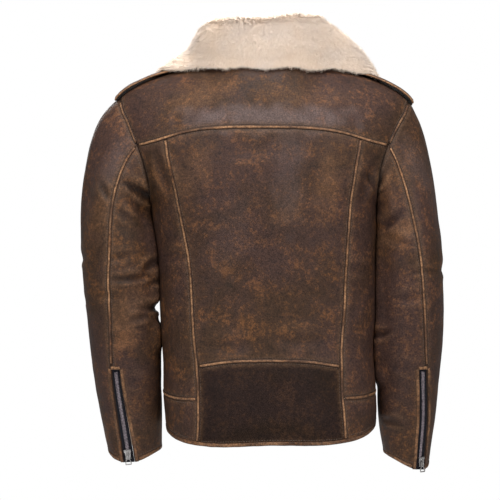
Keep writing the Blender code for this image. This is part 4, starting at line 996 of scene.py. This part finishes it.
def softened(node, width, segments, finish, body):  # a metal piece with its edges rounded
    work = bmesh.new()
    work.from_mesh(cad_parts[node].data)
    bmesh.ops.remove_doubles(work, verts=work.verts, dist=2e-5)
    bmesh.ops.dissolve_limit(work, angle_limit=math.radians(3), verts=work.verts, edges=work.edges)
    sharp = [edge for edge in work.edges if len(edge.link_faces) == 2 and edge.calc_face_angle() > 0.5]
    bmesh.ops.bevel(work, geom=sharp, offset=width, segments=segments, profile=0.5, affect="EDGES",
                    clamp_overlap=True)
    mesh = bpy.data.meshes.new(node + "_metal")
    work.to_mesh(mesh)
    work.free()
    mesh.materials.append(finish)
    mesh.shade_smooth()
    mesh.set_sharp_from_angle(angle=math.radians(50))
    made = bpy.data.objects.new(node + "_metal", mesh)
    bpy.context.scene.collection.objects.link(made)
    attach(made, body)
    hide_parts(node)


def addWindowTop(side):
    # the turned edge across the top of the cuff zip's window
    outer, _ = readWall("zip_tape_cuff_" + side)
    ends = outer[0, [0, -1]]
    line = ends[0] + (ends[1] - ends[0]) * np.linspace(-0.12, 1.12, 9)[:, None]
    up = unit(gridNormals(outer)[0].mean(axis=0))
    rise = unit(outer[0].mean(axis=0) - outer[1].mean(axis=0))
    line = line + rise * 0.0022 + up * 0.0024
    turns = np.linspace(-1, 1, 9)
    high = 0.0018 * (1 - np.abs(turns) ** 3) ** (1 / 3)
    points = line[:, None] + rise * (turns * 0.0034)[None, :, None] + up * (high - 0.0016)[None, :, None]
    faces = quadGrid(9, 9).tolist() + [list(range(9)), [72 + j for j in range(9)][::-1]]
    faces.append([i * 9 for i in range(8, -1, -1)] + [i * 9 + 8 for i in range(9)])
    wear = np.clip((high - 0.0011) / 0.0006, 0, 1)[None] * np.ones((9, 1)) * 0.85
    addPiece("zip_window_top_" + side, points, faces, (finishes["seam"],), None,
             values={"wear": wear, "paintedShade": wear * 0})


for which in ("front", "cuff_left", "cuff_right"):
    addTape(which)
    addTeeth(which)
    softened("zip_slider_" + which, 0.00045, 2, finishes["slider"], "jacket")
    softened("zip_pull_" + which, 0.00028, 2, finishes["slider"], "pull_" + which)
for side in sides:
    addWindowTop(side)
print("zips made")


# the sheepskin collar

collarLook = {
    "spacing": 0.0045,
    "insets": (0.0, 0.003),
    "sunk": 0.0030,  # the dense wool lies this far under the solid's surface
    "edge": 0.014,  # and comes up to it over this distance from the collar's edge
    "seat": 0.0035,  # the edge comes down to this far above the cloth beneath
    "lift": 0.0030,  # and the middle of the edge rises by this
    "lump": 0.0012,
    "lumpScale": 60.0,
    "strands": 360000,
    "strandLong": (0.0050, 0.0095),
    "strandWide": 0.00060,
    "lean": 1.25,  # how far strands lie down the fall, against standing up
    "tuft": 0.26,  # how much whole tufts lean their own way
    "tuftScale": 330.0,
    "pieces": 3,
    "even": (0.0, 1.15, 0.05),
    "ragged": 0.0,
    "fringe": 34000,  # strands that hang over the collar's edge
    "fringeLong": (0.0030, 0.0105),
}
# pushes and pulls of the wool, in the plane of the back view: across, height, radius, amount
collarNudges = (
    (0.113, 0.062, 0.020, 0.0060),
    (0.135, 0.028, 0.013, -0.0065),
    (0.172, 0.006, 0.018, 0.0040),
)
# how far the wool hangs past the solid's edge, by the place across
edgeDrops = ((-0.195, 0.0), (-0.170, 0.004), (-0.14, 0.0), (0.085, 0.0), (0.120, 0.005), (0.145, 0.013),
             (0.175, 0.013), (0.210, 0.0))


def pickOnGrid(grid, normals, count, weight=None):
    # places spread evenly over a grid's faces
    a, b, c, d = grid[:-1, :-1], grid[1:, :-1], grid[1:, 1:], grid[:-1, 1:]
    area = np.linalg.norm(np.cross(c - a, d - b), axis=-1) / 2
    if weight is not None:
        area = area * (weight[:-1, :-1] + weight[1:, 1:]) / 2
    chosen = rng.choice(area.size, size=count, p=(area / area.sum()).ravel())
    i, j = np.unravel_index(chosen, area.shape)
    u, v = rng.random(count)[:, None], rng.random(count)[:, None]

    def blend(layer):
        return ((1 - u) * (1 - v) * layer[i, j] + u * (1 - v) * layer[i + 1, j]
                + u * v * layer[i + 1, j + 1] + (1 - u) * v * layer[i, j + 1])

    return blend(grid), unit(blend(normals)), unit(grid[i + 1, j] - grid[i, j])


def strandField(name, roots, normals, comb, facing, look, count, pieces):
    # each strand is one slim triangle; a tuft's strands lean the same way
    tuft = np.array([noise.noise_vector(Vector(p) * look["tuftScale"]) for p in roots])
    fine = rng.normal(size=roots.shape)
    lean = look["lean"] * (0.6 + 0.8 * rng.random((count, 1)))
    lean = lean * (1 - 0.85 * step(comb[:, 2:], -0.25, 0.25))  # wool inside the fold stands straight
    way = unit(normals + comb * lean + tuft * look["tuft"] * 2.0 + fine * 0.22)
    low, high = look["strandLong"]
    long = low + (high - low) * rng.random((count, 1)) ** 1.3
    long = long * (1 + look["ragged"] * np.clip(noiseAt(roots, 150.0, 4.0), -1, 1))[:, None]
    across = unit(np.cross(way, normals) + 0.20 * rng.normal(size=roots.shape))
    # deep wool is lit more evenly than its shape
    even = facing + step(facing[:, 1:2], -1.1, -0.2) * np.array(look["even"])
    even[:, 2] = np.maximum(even[:, 2], -0.05)
    across = across * np.where((np.cross(across, way) * even).sum(axis=1, keepdims=True) < 0, -1, 1)
    shading = unit(unit(even) + tuft * 0.26 + 0.20 * way + 0.14 * fine)
    wide = look["strandWide"] * (0.7 + 0.6 * rng.random((count, 1)))
    points = np.stack([roots - across * wide / 2, roots + across * wide / 2, roots + way * long], axis=1)
    tone = 0.45 + 0.5 * noiseAt(roots, 45.0, 8.0) + 0.5 * noiseAt(roots, 420.0, 2.0)
    tone = tone + 0.25 * rng.normal(size=count)
    tone = np.clip(tone, 0, 1)
    made = []
    for piece, chosen in enumerate(np.array_split(rng.permutation(count), pieces)):
        faces = np.arange(3 * len(chosen)).reshape(-1, 3)
        tip = np.tile([0.25, 0.25, 1.0], (len(chosen), 1))
        made.append(addPiece(f"{name}_{piece + 1}", points[chosen], faces, (finishes["strand"],), None,
                             values={"tip": tip, "tone": np.repeat(tone[chosen], 3)}))
        made[-1].data.normals_split_custom_set_from_vertices(np.repeat(shading[chosen], 3, axis=0).tolist())
    return made


wool, hide = refine(readWall("collar"), collarLook["spacing"], collarLook["insets"])
woolNormals = gridNormals(wool)
for across, height, radius, amount in collarNudges:
    away = (wool[..., 0] - across) ** 2 + (wool[..., 2] - height) ** 2
    behind = step(wool[..., 1], -0.04, 0.0)
    wool = wool + woolNormals * (amount * behind * np.exp(-away / radius**2))[..., None]
toEdge = borderDistances(wool)[1]
drop = np.interp(wool[-1, :, 0], *zip(*edgeDrops)) * step(wool[-1, :, 1], -0.06, -0.02)
fall = unit(wool[-1] - wool[-4]) * drop[:, None]
wool, hide = (grid + fall * np.exp(-(toEdge / 0.030) ** 2)[..., None] for grid in (wool, hide))
beneath = [panels[name]["outer"] + panels[name]["moved"] for name in panels] + [
    readWall("epaulette_" + side)[0] for side in sides]
beneath = np.concatenate([grid.reshape(-1, 3) for grid in beneath])
tree = treeOf(beneath)
near = np.array([tree.find(Vector(p))[1] for p in hide[-8:].reshape(-1, 3)]).reshape(8, -1)
gap = beneath[near] - hide[-8:]
long = np.linalg.norm(gap, axis=-1, keepdims=True)
seat = (gap * np.clip(1 - collarLook["seat"] / long, 0, 1))[-1]
seat = seat * np.minimum(1, 0.016 / np.maximum(np.linalg.norm(seat, axis=-1, keepdims=True), 1e-6))
middle = step(wool[-1, :, 1], -0.04, 0.0) * (1 - step(np.abs(wool[-1, :, 0]), 0.125, 0.160))
seat[:, 2] = seat[:, 2] * (1 - middle) + collarLook["lift"] * middle
for _ in range(6):
    seat[1:-1] = (seat[:-2] + seat[2:] + seat[1:-1]) / 3
wool, hide = (grid + seat * np.exp(-(toEdge / 0.032) ** 2)[..., None] for grid in (wool, hide))
print("collar seated by up to", round(float(np.linalg.norm(seat, axis=-1).max()) * 1000, 1), "mm")
woolNormals = gridNormals(wool)
rise = step(borderDistances(wool).min(axis=0), 0.0, collarLook["edge"])
rise = (collarLook["lump"] * noiseAt(wool, collarLook["lumpScale"], 6.0) - collarLook["sunk"]) * rise
base = wool + woolNormals * rise[..., None]
faces, kinds = wallFaces(*base.shape[:2])
zero = np.zeros(base.shape[:2])
collar = addPiece("collar_sheepskin", np.stack([base, hide]), faces, (finishes["wool"], finishes["hide"]),
                  "collar", faceMaterial=(kinds == 1).astype(int),
                  values={"wear": np.stack([zero, zero]), "paintedShade": np.stack([zero, zero])})
roots, rootNormals, comb = pickOnGrid(base, woolNormals, collarLook["strands"])
strandField("collar_wool", roots - rootNormals * 0.0008, rootNormals, comb, rootNormals, collarLook,
            collarLook["strands"], collarLook["pieces"])
rimFacing = np.repeat(woolNormals[-9:-8], 3, axis=0)
rimPlaces, rimNormals, rimComb = pickOnGrid(base[-3:], rimFacing, collarLook["fringe"])
strandField("collar_fringe", rimPlaces - rimNormals * 0.0012, rimComb, rimNormals * 0.35, rimNormals,
            dict(collarLook, strandLong=collarLook["fringeLong"], lean=0.6, ragged=0.5),
            collarLook["fringe"], 1)
print("collar made")


# stage, light and camera

stageLook = {
    "floorDrop": 1.50,  # the neck of a standing wearer is this far above the floor
    "floorSize": 9.0,
    "cameraPlace": (0.0278, 3.2, -0.315),
    "lens": 132.4,
}


def addFloor():
    bpy.ops.mesh.primitive_plane_add(size=stageLook["floorSize"], location=(0, 0, -stageLook["floorDrop"]))
    floor = bpy.context.object
    floor.name = "floor"
    material, nodes, links, surface = newMaterial("paleFloor")
    where = nodes.new("ShaderNodeTexCoord").outputs["Object"]
    tone = noiseNode(nodes, links, where, 3.0, 2.0)
    links.new(ramp(nodes, links, tone, ((0.3, (0.80, 0.80, 0.80)), (0.7, (0.84, 0.84, 0.84)))),
              surface.inputs["Base Color"])
    surface.inputs["Roughness"].default_value = 0.7
    floor.data.materials.append(material)


def addLight(name, place, target, size, power):
    light = bpy.data.lights.new(name, "AREA")
    light.shape = "SQUARE"
    light.size = size
    light.energy = power
    made = bpy.data.objects.new(name, light)
    bpy.context.scene.collection.objects.link(made)
    made.location = place
    made.rotation_euler = (Vector(target) - Vector(place)).to_track_quat("-Z", "Y").to_euler()


lightLook = {  # place, aim, size and power of each soft light
    "leftLight": ((1.5, 2.6, 0.9), (0.1, 0.0, -0.30), 1.6, 52),
    "rightLight": ((-1.5, 2.6, 0.7), (-0.1, 0.0, -0.30), 1.6, 48),
    "topLight": ((0.0, 1.0, 1.7), (0.0, 0.0, 0.0), 1.3, 85),
    "frontLight": ((0.4, -2.8, 1.2), (0.0, 0.0, -0.30), 2.0, 80),
    "room": 0.34,  # the white room's light on the jacket
}
addFloor()
for name, values in lightLook.items():
    if name != "room":
        addLight(name, *values)
world = bpy.data.worlds.new("studio")
world.use_nodes = True
room = world.node_tree.nodes["Background"]
room.inputs["Color"].default_value = (1.0, 1.0, 1.0, 1.0)
seen = world.node_tree.nodes.new("ShaderNodeLightPath").outputs["Is Camera Ray"]
strength = world.node_tree.nodes.new("ShaderNodeMath")
strength.operation = "MULTIPLY_ADD"
strength.inputs[1].default_value = 1.0 - lightLook["room"]
strength.inputs[2].default_value = lightLook["room"]
world.node_tree.links.new(seen, strength.inputs[0])
world.node_tree.links.new(strength.outputs[0], room.inputs["Strength"])
bpy.context.scene.world = world
bpy.context.scene.view_settings.view_transform = "Standard"

camera = bpy.data.cameras.new("camera")
camera.lens = stageLook["lens"]
camera.sensor_width = 36.0
cameraObject = bpy.data.objects.new("camera", camera)
bpy.context.scene.collection.objects.link(cameraObject)
cameraObject.location = stageLook["cameraPlace"]
cameraObject.rotation_euler = (math.radians(90), 0, math.radians(180))
bpy.context.scene.camera = cameraObject
print("stage made")
